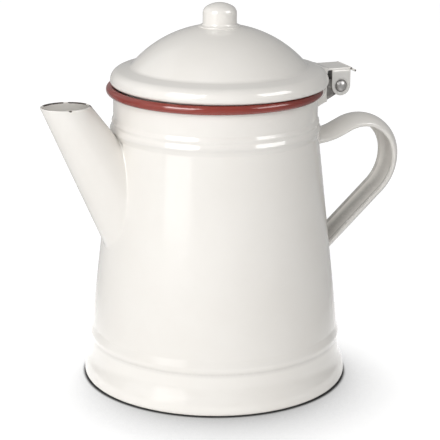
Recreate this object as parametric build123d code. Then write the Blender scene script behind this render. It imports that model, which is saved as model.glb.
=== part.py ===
from build123d import *
import math
import os

# A conical coffee pot of enamelled sheet steel with a hinged, domed lid.
# The pot stands on Z = 0 and its axis is Z. The spout points along -X, the handle and hinge along +X.
# All lengths are millimetres and all angles are degrees.

# Sheet thicknesses, enamel included
SHEET = 1.0
HINGE_SHEET = 1.1

# Clearances
REST_GAP = 0.3
PIN_PLAY = 0.05
EAR_PLAY = 0.3
COLLAR_PLAY = 1.2
RIM_PLAY = 1.9

# Foot: a hem turned in under the base, a rolled edge, a flare, a short run and a bead
FOOT_ROLL = 2.2
FLARE_RADIUS = 16.0
FLARE_ANGLE = 25.0
FLARE_HOLLOW_RADIUS = 18.8
FOOT_RUN = 4.4
FOOT_STEP = 0.5
HEM_WIDTH = 3.0
FOOT_BEAD_BAND = 9.2
FOOT_BEAD_RISE = 0.65
FOOT_BEAD_ROUNDING = 10.0

# Cone and the band of two beads below the neck
CONE_BASE_RADIUS = 66.9
CONE_TOP_RADIUS = 53.9
CONE_LENGTH = 112.0
BEAD_BAND = 9.5
BIG_BEAD_RISE = 2.2
BIG_BEAD_HEIGHT = 3.2
BEAD_GROOVE_RISE = 0.3
BEAD_GROOVE_HEIGHT = 6.1
SMALL_BEAD_RISE = 1.15
SMALL_BEAD_HEIGHT = 7.6
BEAD_ROUNDING = 1.0
BAND_ROUNDING = 2.0

# Neck and rolled rim
NECK_RADIUS = 53.3
NECK_LENGTH = 14.0
RIM_ROLL = 2.3
RIM_CURL = 290.0

# Base plate, dished up off the floor
BASE_RISE = 3.0
BASE_SLOPE_WIDTH = 2.0

# Spout: a slanted cone with a level mouth, over a strainer pierced in the wall
SPOUT_REACH = 81.7
SPOUT_LIP_DROP = 6.35
SPOUT_TILT = 30.6
SPOUT_LIP_RADIUS = 11.1
SPOUT_HALF_ANGLE = 6.9
STRAINER_HOLE = 4.0
STRAINER_PITCH = 6.5
STRAINER_RING_COUNT = 2
STRAINER_DROP = 27.0

# Handle: a crowned strap with curled edges
HANDLE_DROP = 6.5
HANDLE_HALF_WIDTH = 9.3
HANDLE_CROWN = 3.9
HANDLE_EDGE_CURL = 1.3
HANDLE_RISE_RADIUS = 35.5
HANDLE_RISE_ANGLE = 24.7
HANDLE_RISE_RUN = 5.5
HANDLE_TOP_RADIUS = 19.4
HANDLE_BACK_ANGLE = -84.0
HANDLE_BACK_RADIUS = 24.6
HANDLE_LEG_ANGLE = -136.8

# Hinge
PIN_RADIUS = 1.75
PIN_STANDOFF = 7.9
PIN_DROP = 4.0
RIVET_HEAD_RADIUS = 3.1
RIVET_HEAD_HEIGHT = 1.7
EAR_DISH_RADIUS = 3.8
EAR_DISH_DEPTH = 0.4
LEAF_WIDTH = 17.0
LEAF_FOLD_RADIUS = 2.6
LEAF_EAR_RADIUS = 5.3
LEAF_ROOF_HEIGHT = 9.7
TAIL_LENGTH = 3.8
TAIL_ANGLE = 28.0
SADDLE_HALF_WIDTH = 9.2
BRACKET_EAR_RADIUS = 3.2
BRACKET_SLOPE = 27.6

# Lid
LID_OFFSET = 2.05
LID_INSET = 0.2
LID_TUCK = 1.8
LID_SKIRT = 2.0
LID_SHOULDER_RADIUS = 5.8
LID_BRIM_SLOPE = 27.5
DOME_FOOT_RADIUS = 42.0
DOME_RADIUS = 60.3
DOME_CREASE_RADIUS = 9.0
COLLAR_DEPTH = 7.5
COLLAR_LEAD = 0.8
COLLAR_LEAD_HEIGHT = 3.0
KNOB_RADIUS = 8.8
KNOB_SIDE = 4.6
KNOB_EDGE_RADIUS = 4.2
KNOB_CROWN_RADIUS = 13.0
KNOB_FOOT = 1.6

# Heights and radii that follow from the sizes above
CONE_ANGLE = math.degrees(math.atan((CONE_BASE_RADIUS - CONE_TOP_RADIUS) / CONE_LENGTH))
CONE_SLOPE = math.tan(math.radians(CONE_ANGLE))
HOLLOW_REACH = FLARE_HOLLOW_RADIUS * (math.cos(math.radians(CONE_ANGLE)) - math.cos(math.radians(FLARE_ANGLE)))
HOLLOW_RISE = FLARE_HOLLOW_RADIUS * (math.sin(math.radians(FLARE_ANGLE)) - math.sin(math.radians(CONE_ANGLE)))
FLARE_REACH = FLARE_RADIUS * (1 - math.cos(math.radians(FLARE_ANGLE)))
FLARE_RISE = FLARE_RADIUS * math.sin(math.radians(FLARE_ANGLE))
WAIST_RADIUS = CONE_BASE_RADIUS - FOOT_STEP
FOOT_RADIUS = WAIST_RADIUS + FOOT_RUN * CONE_SLOPE + HOLLOW_REACH + FLARE_REACH
FOOT_HEIGHT = FOOT_ROLL + FLARE_RISE + HOLLOW_RISE + FOOT_RUN
CONE_TOP_Z = FOOT_HEIGHT + CONE_LENGTH
NECK_Z = CONE_TOP_Z + BEAD_BAND
RIM_Z = NECK_Z + NECK_LENGTH
RIM_TOP_Z = RIM_Z + RIM_ROLL
RIM_RADIUS = NECK_RADIUS - SHEET + RIM_ROLL
RIM_OUTER_RADIUS = RIM_RADIUS + RIM_ROLL
SADDLE_RADIUS = RIM_OUTER_RADIUS + RIM_PLAY + HINGE_SHEET
PIN_REACH = SADDLE_RADIUS + PIN_STANDOFF
LIP_Z = RIM_TOP_Z - SPOUT_LIP_DROP
PIN_Z = RIM_TOP_Z - PIN_DROP
LID_Z = RIM_TOP_Z + REST_GAP
LID_RADIUS = RIM_OUTER_RADIUS - LID_INSET
COLLAR_RADIUS = NECK_RADIUS - SHEET - LID_OFFSET - COLLAR_PLAY
BRACKET_EAR_Y = LEAF_WIDTH / 2 - HINGE_SHEET - EAR_PLAY


def cone_radius(height):
    """Outer radius of the straight cone at a height above the floor."""
    return CONE_BASE_RADIUS - (height - FOOT_HEIGHT) * CONE_SLOPE


def turned(face):
    """Solid of revolution of a face drawn as radius and height."""
    return revolve(Plane.XZ * face, Axis.Z, 360)


def foot_arcs():
    """Hem, rolled edge and flare, from under the base up to the run below the foot's bead."""
    hem_end = FOOT_RADIUS - FOOT_ROLL
    hem = Line((hem_end - HEM_WIDTH, 0), (hem_end, 0))
    roll = JernArc(hem @ 1, hem % 1, FOOT_ROLL, 90)
    flare = JernArc(roll @ 1, roll % 1, FLARE_RADIUS, FLARE_ANGLE)
    hollow = JernArc(flare @ 1, flare % 1, FLARE_HOLLOW_RADIUS, CONE_ANGLE - FLARE_ANGLE)
    return [hem, roll, flare, hollow]


def pot_line():
    """Outer line of the wall, from the hem over the foot, cone, beads and neck to the rim's middle."""
    foot = foot_arcs()
    foot_bead_z = FOOT_HEIGHT + FOOT_BEAD_BAND / 2
    foot_bead_end_z = FOOT_HEIGHT + FOOT_BEAD_BAND
    corners = [
        (WAIST_RADIUS, FOOT_HEIGHT),
        (cone_radius(foot_bead_z) + FOOT_BEAD_RISE, foot_bead_z),
        (cone_radius(foot_bead_end_z), foot_bead_end_z),
        (CONE_TOP_RADIUS, CONE_TOP_Z),
        (NECK_RADIUS + BIG_BEAD_RISE, CONE_TOP_Z + BIG_BEAD_HEIGHT),
        (NECK_RADIUS + BEAD_GROOVE_RISE, CONE_TOP_Z + BEAD_GROOVE_HEIGHT),
        (NECK_RADIUS + SMALL_BEAD_RISE, CONE_TOP_Z + SMALL_BEAD_HEIGHT),
        (NECK_RADIUS, NECK_Z),
    ]
    rounding = [FOOT_BEAD_ROUNDING] * 3 + [BAND_ROUNDING] + [BEAD_ROUNDING] * 3 + [BAND_ROUNDING]
    wall = FilletPolyline(foot[-1] @ 1, *corners, (NECK_RADIUS, RIM_Z), radius=rounding)
    return Wire([*foot, *wall.edges()])


def sheet_wall(line):
    """Sheet of revolution whose outer face follows the line, with its thickness on the left."""
    return turned(make_face(line.offset_2d(SHEET, side=Side.LEFT, closed=True)))


def pot_envelope():
    """Solid with the pot's outer shape, rim included, that cuts whatever is joined to it."""
    line = pot_line()
    core = Polyline(line @ 1, (0, RIM_Z), (0, 0), line @ 0)
    rim = Pos(RIM_RADIUS, RIM_Z) * Circle(RIM_ROLL)
    return turned(make_face(Wire([*line.edges(), *core.edges()]))) + turned(rim)


def strainer_holes():
    """Punches of the strainer: a hexagon of holes through the wall inside the spout's root."""
    rings = STRAINER_RING_COUNT
    centre_z = CONE_TOP_Z - STRAINER_DROP
    punch = Cylinder(STRAINER_HOLE / 2, CONE_TOP_RADIUS, rotation=(0, 90, 0))
    punches = []
    for row in range(-rings, rings + 1):
        count = 2 * rings + 1 - abs(row)
        for column in range(count):
            y = (column - (count - 1) / 2) * STRAINER_PITCH
            z = centre_z + row * STRAINER_PITCH * math.sin(math.radians(60))
            punches.append(Pos(-cone_radius(z), y, z) * punch)
    return punches


def body_shell():
    """Foot, cone, beads and neck in one sheet, pierced for the strainer."""
    return sheet_wall(pot_line()) - strainer_holes()


def rim_bead():
    """Rolled rim: the neck's sheet curled outward, leaving a slit beside the neck."""
    curl = CenterArc((RIM_RADIUS, RIM_Z), RIM_ROLL, 180, -RIM_CURL)
    return turned(make_face(Wire(curl).offset_2d(SHEET, side=Side.RIGHT, closed=True)))


def base_plate():
    """Dished bottom that sits on the hem inside the rolled foot."""
    seat_radius = FOOT_RADIUS - FOOT_ROLL
    seat_inner = seat_radius - HEM_WIDTH
    dish_radius = seat_inner - BASE_SLOPE_WIDTH
    low = SHEET
    high = BASE_RISE
    outline = Polyline(
        (seat_radius, low),
        (seat_inner, low),
        (dish_radius, high),
        (0, high),
        (0, high + SHEET),
        (dish_radius, high + SHEET),
        (seat_inner, low + SHEET),
        (seat_radius, low + SHEET),
        close=True,
    )
    return turned(make_face(outline))


def spout_cone(inset, above):
    """Solid cone along the spout's axis, its wall moved in by inset and run on above the mouth."""
    length = (SPOUT_REACH - CONE_TOP_RADIUS / 2) / math.sin(math.radians(SPOUT_TILT))
    flare = math.tan(math.radians(SPOUT_HALF_ANGLE))
    slant_inset = inset / math.cos(math.radians(SPOUT_HALF_ANGLE))
    low_radius = SPOUT_LIP_RADIUS + flare * length - slant_inset
    high_radius = SPOUT_LIP_RADIUS - flare * above - slant_inset
    cone = Cone(low_radius, high_radius, length + above, align=(Align.CENTER, Align.CENTER, Align.MIN))
    return Pos(-SPOUT_REACH, 0, LIP_Z) * Rot(0, -SPOUT_TILT, 0) * Pos(0, 0, -length) * cone


def spout(envelope):
    """Open cone, cut level at the mouth and saddled to the wall at its root."""
    above = SPOUT_LIP_RADIUS
    tube = spout_cone(0, above) - spout_cone(SHEET, above)
    sky = Pos(-SPOUT_REACH, 0, LIP_Z) * Box(
        4 * SPOUT_REACH, 4 * SPOUT_REACH, 4 * above, align=(Align.CENTER, Align.CENTER, Align.MIN)
    )
    return tube - sky - envelope


def handle_path():
    """Line of the strap's edges, from inside the wall over the top and down into the wall again."""
    start = (CONE_TOP_RADIUS / 2, CONE_TOP_Z - HANDLE_DROP)
    lead = Line(start, (CONE_TOP_RADIUS, start[1]))
    rise = JernArc(lead @ 1, lead % 1, HANDLE_RISE_RADIUS, HANDLE_RISE_ANGLE)
    run = PolarLine(rise @ 1, HANDLE_RISE_RUN, direction=rise % 1)
    top = JernArc(run @ 1, run % 1, HANDLE_TOP_RADIUS, HANDLE_BACK_ANGLE - HANDLE_RISE_ANGLE)
    back = JernArc(top @ 1, top % 1, HANDLE_BACK_RADIUS, HANDLE_LEG_ANGLE - HANDLE_BACK_ANGLE)
    leg_length = ((back @ 1).X - CONE_TOP_RADIUS / 2) / -(back % 1).X
    leg = PolarLine(back @ 1, leg_length, direction=back % 1)
    return Plane.XZ * Wire([lead, rise, run, top, back, leg])


def strap_section():
    """Crowned strip with its two edges curled in, drawn across the strap with the crown upward."""
    radius = (HANDLE_HALF_WIDTH**2 + HANDLE_CROWN**2) / (2 * HANDLE_CROWN)
    centre_y = HANDLE_CROWN - radius
    half_angle = math.degrees(math.asin(HANDLE_HALF_WIDTH / radius))
    ring = Circle(radius) - Circle(radius - SHEET)
    wedge = make_face(
        Polyline(
            (0, 0),
            (2 * radius * math.tan(math.radians(half_angle)), 2 * radius),
            (-2 * radius * math.tan(math.radians(half_angle)), 2 * radius),
            close=True,
        )
    )
    curl_reach = radius - HANDLE_EDGE_CURL
    section = ring & wedge
    for side in (-1, 1):
        angle = 90 - side * half_angle
        section += Rot(0, 0, angle) * Pos(curl_reach, 0) * Circle(HANDLE_EDGE_CURL)
    return Pos(0, centre_y) * section


def handle(envelope):
    """Strap handle, both ends butted and welded to the cone."""
    path = handle_path()
    across = Plane(origin=path @ 0, x_dir=(0, 1, 0), z_dir=path % 0)
    return sweep(across * strap_section(), path) - envelope


def front_window(reach):
    """Box on the hinge side, as wide as the saddle and as long as the reach."""
    return Box(reach, 2 * SADDLE_HALF_WIDTH, 4 * RIM_TOP_Z, align=(Align.MIN, Align.CENTER, Align.CENTER))


def saddle_band(low, high, inner):
    """Band round the pot's axis, from an inner radius out to the saddle's face, as wide as the saddle."""
    width = SADDLE_RADIUS - inner
    band = turned(Pos(inner + width / 2, (low + high) / 2) * Rectangle(width, high - low))
    return band & front_window(SADDLE_RADIUS)


def pin_hole():
    """Running hole for the rivet's shank, right through the hinge."""
    return Pos(PIN_REACH, 0, PIN_Z) * Cylinder(PIN_RADIUS + PIN_PLAY, 2 * LEAF_WIDTH, rotation=(90, 0, 0))


def bracket_edge_z(reach):
    """Height of the bracket's lower edge, the slope that touches the round ends of its ears."""
    slope = math.radians(BRACKET_SLOPE)
    touch = PIN_Z - BRACKET_EAR_RADIUS / math.cos(slope)
    return touch - (PIN_REACH - reach) * math.tan(slope)


def bracket_web():
    """Sloping part of the bracket, from the neck out under the rim to the apron."""
    inner = NECK_RADIUS - SHEET
    rise = HINGE_SHEET / math.cos(math.radians(BRACKET_SLOPE))
    corners = [
        (inner, bracket_edge_z(inner)),
        (SADDLE_RADIUS, bracket_edge_z(SADDLE_RADIUS)),
        (SADDLE_RADIUS, bracket_edge_z(SADDLE_RADIUS) + rise),
        (inner, bracket_edge_z(inner) + rise),
    ]
    return turned(make_face(Polyline(*corners, close=True))) & front_window(SADDLE_RADIUS)


def bracket_cheeks(top):
    """Two side walls under the rim that close the ends of the web and the apron."""
    inner = NECK_RADIUS - SHEET
    corners = [
        (inner, bracket_edge_z(inner)),
        (SADDLE_RADIUS, bracket_edge_z(SADDLE_RADIUS)),
        (SADDLE_RADIUS, top),
        (RIM_RADIUS, top),
        (inner, RIM_Z),
    ]
    cheek_gap = Box(4 * SADDLE_RADIUS, 2 * (SADDLE_HALF_WIDTH - HINGE_SHEET), 4 * RIM_TOP_Z)
    return turned(make_face(Polyline(*corners, close=True))) & (front_window(SADDLE_RADIUS) - cheek_gap)


def bracket_ears(top):
    """Two plates from the apron out to the pin, round at the pin."""
    heel = SADDLE_RADIUS - HINGE_SHEET
    round_end = Pos(PIN_REACH, PIN_Z) * Circle(BRACKET_EAR_RADIUS)
    back = Edge.make_line((heel, bracket_edge_z(heel)), (heel, top))
    outline = make_hull([*round_end.edges(), back])
    ear = extrude(Plane.XZ * outline, HINGE_SHEET / 2, both=True)
    offset = BRACKET_EAR_Y - HINGE_SHEET / 2
    return Pos(0, offset, 0) * ear + Pos(0, -offset, 0) * ear


def body_hinge_bracket(envelope):
    """Fixed half of the hinge: web and cheeks under the rim, apron in front of it and two ears."""
    top = RIM_TOP_Z
    apron = saddle_band(bracket_edge_z(SADDLE_RADIUS), top, SADDLE_RADIUS - HINGE_SHEET)
    box = apron + bracket_web() + bracket_cheeks(top)
    return box + bracket_ears(top - REST_GAP) - pin_hole() - envelope


def leaf_channel():
    """Roof and two ears folded from one strip, its ears round at the pin."""
    roof_z = PIN_Z + LEAF_ROOF_HEIGHT
    height = LEAF_ROOF_HEIGHT + LEAF_EAR_RADIUS
    top = Align.CENTER, Align.MAX
    outside = Rectangle(LEAF_WIDTH, height, align=top)
    outside = fillet(outside.vertices().group_by(Axis.Y)[-1], LEAF_FOLD_RADIUS)
    inside = Pos(0, -HINGE_SHEET) * Rectangle(LEAF_WIDTH - 2 * HINGE_SHEET, height, align=top)
    inside = fillet(inside.vertices().group_by(Axis.Y)[-1], LEAF_FOLD_RADIUS - HINGE_SHEET)
    section = Plane(origin=(PIN_REACH, 0, roof_z), x_dir=(0, 1, 0), z_dir=(1, 0, 0)) * (outside - inside)
    channel = extrude(section, LEAF_EAR_RADIUS, both=True)
    square = Rectangle(2 * LEAF_EAR_RADIUS, LEAF_ROOF_HEIGHT, align=(Align.CENTER, Align.MIN))
    ear = Pos(PIN_REACH, PIN_Z) * (Circle(LEAF_EAR_RADIUS) + square)
    return channel & extrude(Plane.XZ * ear, LEAF_WIDTH, both=True)


def leaf_tail():
    """Thumb tail: the roof run on past the ears and bent down."""
    corner = Pos(PIN_REACH + LEAF_EAR_RADIUS, 0, PIN_Z + LEAF_ROOF_HEIGHT)
    plate = Box(TAIL_LENGTH, LEAF_WIDTH, HINGE_SHEET, align=(Align.MIN, Align.CENTER, Align.MAX))
    return corner * Rot(0, TAIL_ANGLE, 0) * plate


def lid_hinge_leaf(cover):
    """Moving half of the hinge: root saddled to the lid's skirt, roof, ears and thumb tail."""
    roof_z = PIN_Z + LEAF_ROOF_HEIGHT
    root = saddle_band(LID_Z, roof_z, LID_RADIUS / 2)
    start = PIN_REACH - LEAF_EAR_RADIUS
    roof = Pos(start, 0, roof_z) * Box(
        start - LID_RADIUS, LEAF_WIDTH, HINGE_SHEET, align=(Align.MAX, Align.CENTER, Align.MAX)
    )
    leaf = root + roof + leaf_channel() + leaf_tail() - pin_hole() - cover
    dish = Cylinder(EAR_DISH_RADIUS, 2 * EAR_DISH_DEPTH, rotation=(90, 0, 0))
    for side in (-1, 1):
        leaf -= Pos(PIN_REACH, side * LEAF_WIDTH / 2, PIN_Z) * dish
    return leaf


def hinge_rivet():
    """Pin of the hinge: shank through the four ears with a domed head at each end."""
    seat = LEAF_WIDTH / 2 - EAR_DISH_DEPTH + REST_GAP / 2
    ball = (RIVET_HEAD_RADIUS**2 + RIVET_HEAD_HEIGHT**2) / (2 * RIVET_HEAD_HEIGHT)
    upper = Box(2 * ball, 2 * ball, ball, align=(Align.CENTER, Align.CENTER, Align.MIN))
    head = Pos(0, 0, seat) * (upper & Pos(0, 0, RIVET_HEAD_HEIGHT - ball) * Sphere(ball))
    rivet = Cylinder(PIN_RADIUS, 2 * seat) + head + Rot(180, 0, 0) * head
    return Pos(PIN_REACH, 0, PIN_Z) * Rot(90, 0, 0) * rivet


def lid_line():
    """Outer line of the lid, from its tucked edge over the skirt, the brim and the dome to the axis."""
    tuck_angle = 2 * math.degrees(math.atan(LID_TUCK / LID_SKIRT))
    tuck_radius = LID_SKIRT / math.sin(math.radians(tuck_angle))
    edge_heading = (math.sin(math.radians(tuck_angle)), math.cos(math.radians(tuck_angle)))
    skirt = JernArc((LID_RADIUS - LID_TUCK, LID_Z), edge_heading, tuck_radius, tuck_angle)
    shoulder = JernArc(skirt @ 1, skirt % 1, LID_SHOULDER_RADIUS, 90 - LID_BRIM_SLOPE)
    dome_angle = math.degrees(math.asin(DOME_FOOT_RADIUS / DOME_RADIUS))
    slope = math.radians(LID_BRIM_SLOPE)
    crease_reach = DOME_CREASE_RADIUS * (DOME_FOOT_RADIUS / DOME_RADIUS - math.sin(slope))
    brim_length = ((shoulder @ 1).X - DOME_FOOT_RADIUS - crease_reach) / math.cos(slope)
    brim = PolarLine(shoulder @ 1, brim_length, direction=shoulder % 1)
    crease = JernArc(brim @ 1, brim % 1, DOME_CREASE_RADIUS, LID_BRIM_SLOPE - dome_angle)
    dome = JernArc(crease @ 1, crease % 1, DOME_RADIUS, dome_angle)
    return Wire([skirt, shoulder, brim, crease, dome])


def on_lid(shape):
    """The shape moved from the pot's axis to the lid's, which sits back towards the hinge."""
    return Pos(LID_OFFSET, 0, 0) * shape


def lid_envelope():
    """Solid with the lid's outer shape."""
    line = lid_line()
    edges = [*line.edges(), *Polyline(line @ 1, (0, LID_Z), line @ 0).edges()]
    return turned(make_face(Wire(edges)))


def lid_collar(shell):
    """Ring under the lid that drops into the neck, its lower edge drawn in as a lead."""
    low = LID_Z - COLLAR_DEPTH
    high = LID_Z + DOME_RADIUS
    line = Polyline(
        (COLLAR_RADIUS - COLLAR_LEAD, low),
        (COLLAR_RADIUS, low + COLLAR_LEAD_HEIGHT),
        (COLLAR_RADIUS, high),
    )
    ring = sheet_wall(Wire(line.edges())) - shell
    return ring.solids().sort_by(Axis.Z)[0]


def lid_knob(cover):
    """Hollow cap pressed from sheet, its foot flared out on to the dome."""
    foot_radius = KNOB_RADIUS + KNOB_FOOT
    crown_z = (lid_line() @ 1).Y
    sag = DOME_RADIUS - math.sqrt(DOME_RADIUS**2 - foot_radius**2)
    foot_z = crown_z - sag + SHEET / 2
    flare = JernArc((foot_radius, foot_z), (-1, 0), KNOB_FOOT, -90)
    side = PolarLine(flare @ 1, KNOB_SIDE, direction=(0, 1))
    edge_angle = math.degrees(
        math.acos((KNOB_RADIUS - KNOB_EDGE_RADIUS) / (KNOB_CROWN_RADIUS - KNOB_EDGE_RADIUS))
    )
    edge = JernArc(side @ 1, side % 1, KNOB_EDGE_RADIUS, edge_angle)
    crown = JernArc(edge @ 1, edge % 1, KNOB_CROWN_RADIUS, 90 - edge_angle)
    return sheet_wall(Wire([flare, side, edge, crown])) - cover


def main():
    os.makedirs("parts", exist_ok=True)
    pot = pot_envelope()
    cover = lid_envelope()
    shell = sheet_wall(lid_line())
    nodes = {
        "body_shell": body_shell(),
        "rim_bead": rim_bead(),
        "base_plate": base_plate(),
        "spout": spout(pot),
        "handle": handle(pot),
        "body_hinge_bracket": body_hinge_bracket(pot),
        "hinge_rivet": hinge_rivet(),
        "lid_shell": on_lid(shell),
        "lid_collar": on_lid(lid_collar(shell)),
        "lid_knob": on_lid(lid_knob(cover)),
        "lid_hinge_leaf": lid_hinge_leaf(on_lid(cover)),
    }
    for name, shape in nodes.items():
        export_step(shape, f"parts/{name}.step")


main()
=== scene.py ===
import logging
import math
from dataclasses import dataclass, field
from enum import Enum

import bmesh
import bpy
import numpy as np
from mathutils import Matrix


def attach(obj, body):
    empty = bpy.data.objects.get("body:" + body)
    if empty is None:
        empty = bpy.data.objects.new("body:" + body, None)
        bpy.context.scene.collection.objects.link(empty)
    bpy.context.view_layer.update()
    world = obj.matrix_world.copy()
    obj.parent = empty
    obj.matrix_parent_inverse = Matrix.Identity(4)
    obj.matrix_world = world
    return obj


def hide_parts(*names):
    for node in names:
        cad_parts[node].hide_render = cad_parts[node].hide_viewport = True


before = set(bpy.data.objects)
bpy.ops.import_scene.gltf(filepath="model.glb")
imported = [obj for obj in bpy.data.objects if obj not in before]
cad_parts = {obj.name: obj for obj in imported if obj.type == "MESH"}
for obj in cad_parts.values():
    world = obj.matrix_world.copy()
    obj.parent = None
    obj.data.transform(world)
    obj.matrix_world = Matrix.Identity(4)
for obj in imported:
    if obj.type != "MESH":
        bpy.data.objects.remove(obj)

import openvdb

# The looks of a conical enamel coffee pot with a hinged lid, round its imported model.
# The pot stands on Z = 0 and its axis is Z. The spout points along -X, the handle and the hinge along +X.
# Sizes in this file are millimetres and degrees. A mesh is turned into metres when it is made.

LOG = logging.getLogger("coffee_pot")
MM = 0.001
Array = np.ndarray


class Slot(Enum):
    """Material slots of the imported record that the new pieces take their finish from."""

    WHITE = "white_enamel"
    RED = "red_enamel"
    RIVET = "rivet_steel"


class Body(Enum):
    """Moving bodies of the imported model."""

    POT = "pot"
    LID = "lid"


# Lines in a plane, as rows of two numbers.


def unit(heading: float) -> Array:
    """Step of length 1 along a heading in degrees: its cosine and its sine."""
    return np.array([math.cos(math.radians(heading)), math.sin(math.radians(heading))])


def arc(centre: tuple[float, float], radius: float, start: float, end: float, count: int = 24) -> Array:
    """Points on a circle's arc: the centre plus the radius times the cosine and sine of the angle.

    Args:
        centre: Middle of the circle.
        radius: Its radius.
        start: First angle in degrees.
        end: Last angle in degrees.
        count: How many points the arc has.

    Returns:
        The points, one row each.
    """
    angle = np.radians(np.linspace(start, end, count))
    return np.stack([centre[0] + radius * np.cos(angle), centre[1] + radius * np.sin(angle)], -1)


def turn(start: Array, heading: float, radius: float, angle: float, count: int = 20) -> tuple[Array, float]:
    """Points of an arc that leaves a point along a heading and turns by an angle, left when it is positive.

    Args:
        start: Point that the arc leaves.
        heading: Direction in which it leaves, in degrees.
        radius: Radius of the turn.
        angle: How far it turns, in degrees.
        count: How many points the arc has.

    Returns:
        The points after the start, and the heading at the arc's end.
    """
    side = 1.0 if angle > 0 else -1.0
    to_centre = math.radians(heading + 90.0 * side)
    centre = (start[0] + radius * math.cos(to_centre), start[1] + radius * math.sin(to_centre))
    first = heading - 90.0 * side
    return arc(centre, radius, first, first + angle, count)[1:], heading + angle


def filleted(corners: list[tuple[float, float]], radii: list[float], count: int = 12) -> Array:
    """A line through corners, each rounded by an arc that touches the two runs beside it.

    Args:
        corners: The line's ends and its corners in between.
        radii: One radius for each corner between the ends.
        count: Points on each arc.

    Returns:
        The line's points.
    """
    points = np.asarray(corners, float)
    line = [points[:1]]
    for before, corner, after, radius in zip(points[:-2], points[1:-1], points[2:], radii):
        back = (before - corner) / np.linalg.norm(before - corner)
        on = (after - corner) / np.linalg.norm(after - corner)
        half = math.acos(float(np.clip(back @ on, -1, 1))) / 2
        middle = (back + on) / np.linalg.norm(back + on)
        centre = corner + middle * radius / math.sin(half)
        reach = radius / math.tan(half)
        first = corner + back * reach - centre
        last = corner + on * reach - centre
        start = math.degrees(math.atan2(first[1], first[0]))
        sweep = (math.degrees(math.atan2(last[1], last[0])) - start + 180) % 360 - 180
        line.append(arc(tuple(centre), radius, start, start + sweep, count))
    line.append(points[-1:])
    return np.concatenate(line)


def spaced(line: Array, longest: float) -> Array:
    """The line with points added so that no step along it is longer than a limit.

    Args:
        line: Points of an open line.
        longest: Longest step allowed.

    Returns:
        The old points and the new ones, in order along the line.
    """
    step = np.linalg.norm(np.diff(line, axis=0), axis=1)
    keep = np.concatenate([[True], step > 1e-6])
    line = line[keep]
    run = np.concatenate([[0.0], np.cumsum(np.linalg.norm(np.diff(line, axis=0), axis=1))])
    extra = np.linspace(0, run[-1], int(run[-1] / longest) + 2)
    gap = np.abs(extra[:, None] - run[None, :]).min(1)
    places = np.sort(np.concatenate([run, extra[gap > 0.35 * longest]]))
    return np.stack([np.interp(places, run, line[:, k]) for k in range(line.shape[1])], -1)


def shifted(line: Array, distance: float) -> Array:
    """The line moved sideways along its normals, to the left of its own direction.

    Args:
        line: Points of an open line.
        distance: How far it moves.

    Returns:
        The moved points.
    """
    along = np.gradient(line, axis=0)
    along /= np.linalg.norm(along, axis=1, keepdims=True)
    return line + distance * np.stack([-along[:, 1], along[:, 0]], -1)


def sheet_loop(line: Array, thickness: float, close_start: bool = True, close_end: bool = True) -> Array:
    """Outline of a sheet whose one face follows a line, with its ends rounded over.

    Args:
        line: The outer face's line.
        thickness: Sheet thickness, to the left of the line.
        close_start: Whether the first end is rounded, and not cut at the axis.
        close_end: Whether the last end is rounded, and not cut at the axis.

    Returns:
        The loop's points, from the outer face's start, over its end and back along the inner face.
    """
    inner = shifted(line, thickness)[::-1]
    parts = [line]
    if close_end:
        parts.append(half_round(line[-1], inner[0], line[-1] - line[-2]))
    parts.append(inner)
    if close_start:
        parts.append(half_round(inner[-1], line[0], line[0] - line[1]))
    return np.concatenate(parts)


def half_round(first: Array, last: Array, outward: Array, count: int = 7) -> Array:
    """Half an ellipse between two points, standing out along a direction by half their distance.

    Args:
        first: Where it starts.
        last: Where it ends.
        outward: Direction in which it stands out.
        count: Points between the two ends.

    Returns:
        The points between the ends.
    """
    middle = (first + last) / 2
    side = (first - last) / 2
    top = outward / np.linalg.norm(outward) * np.linalg.norm(side)
    angle = np.linspace(0, math.pi, count + 2)[1:-1, None]
    return middle + np.cos(angle) * side + np.sin(angle) * top


# Meshes, from a grid of points or a field.


def once_round(columns: int) -> Array:
    """Angles in radians once round an axis in equal steps, as one row."""
    return np.linspace(0, 2 * math.pi, columns, endpoint=False)[None, :]


def grid_of(x: Array, y: Array, z: Array) -> Array:
    """Points from three coordinates that broadcast to one grid."""
    return np.stack(np.broadcast_arrays(x, y, z), -1)


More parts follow.
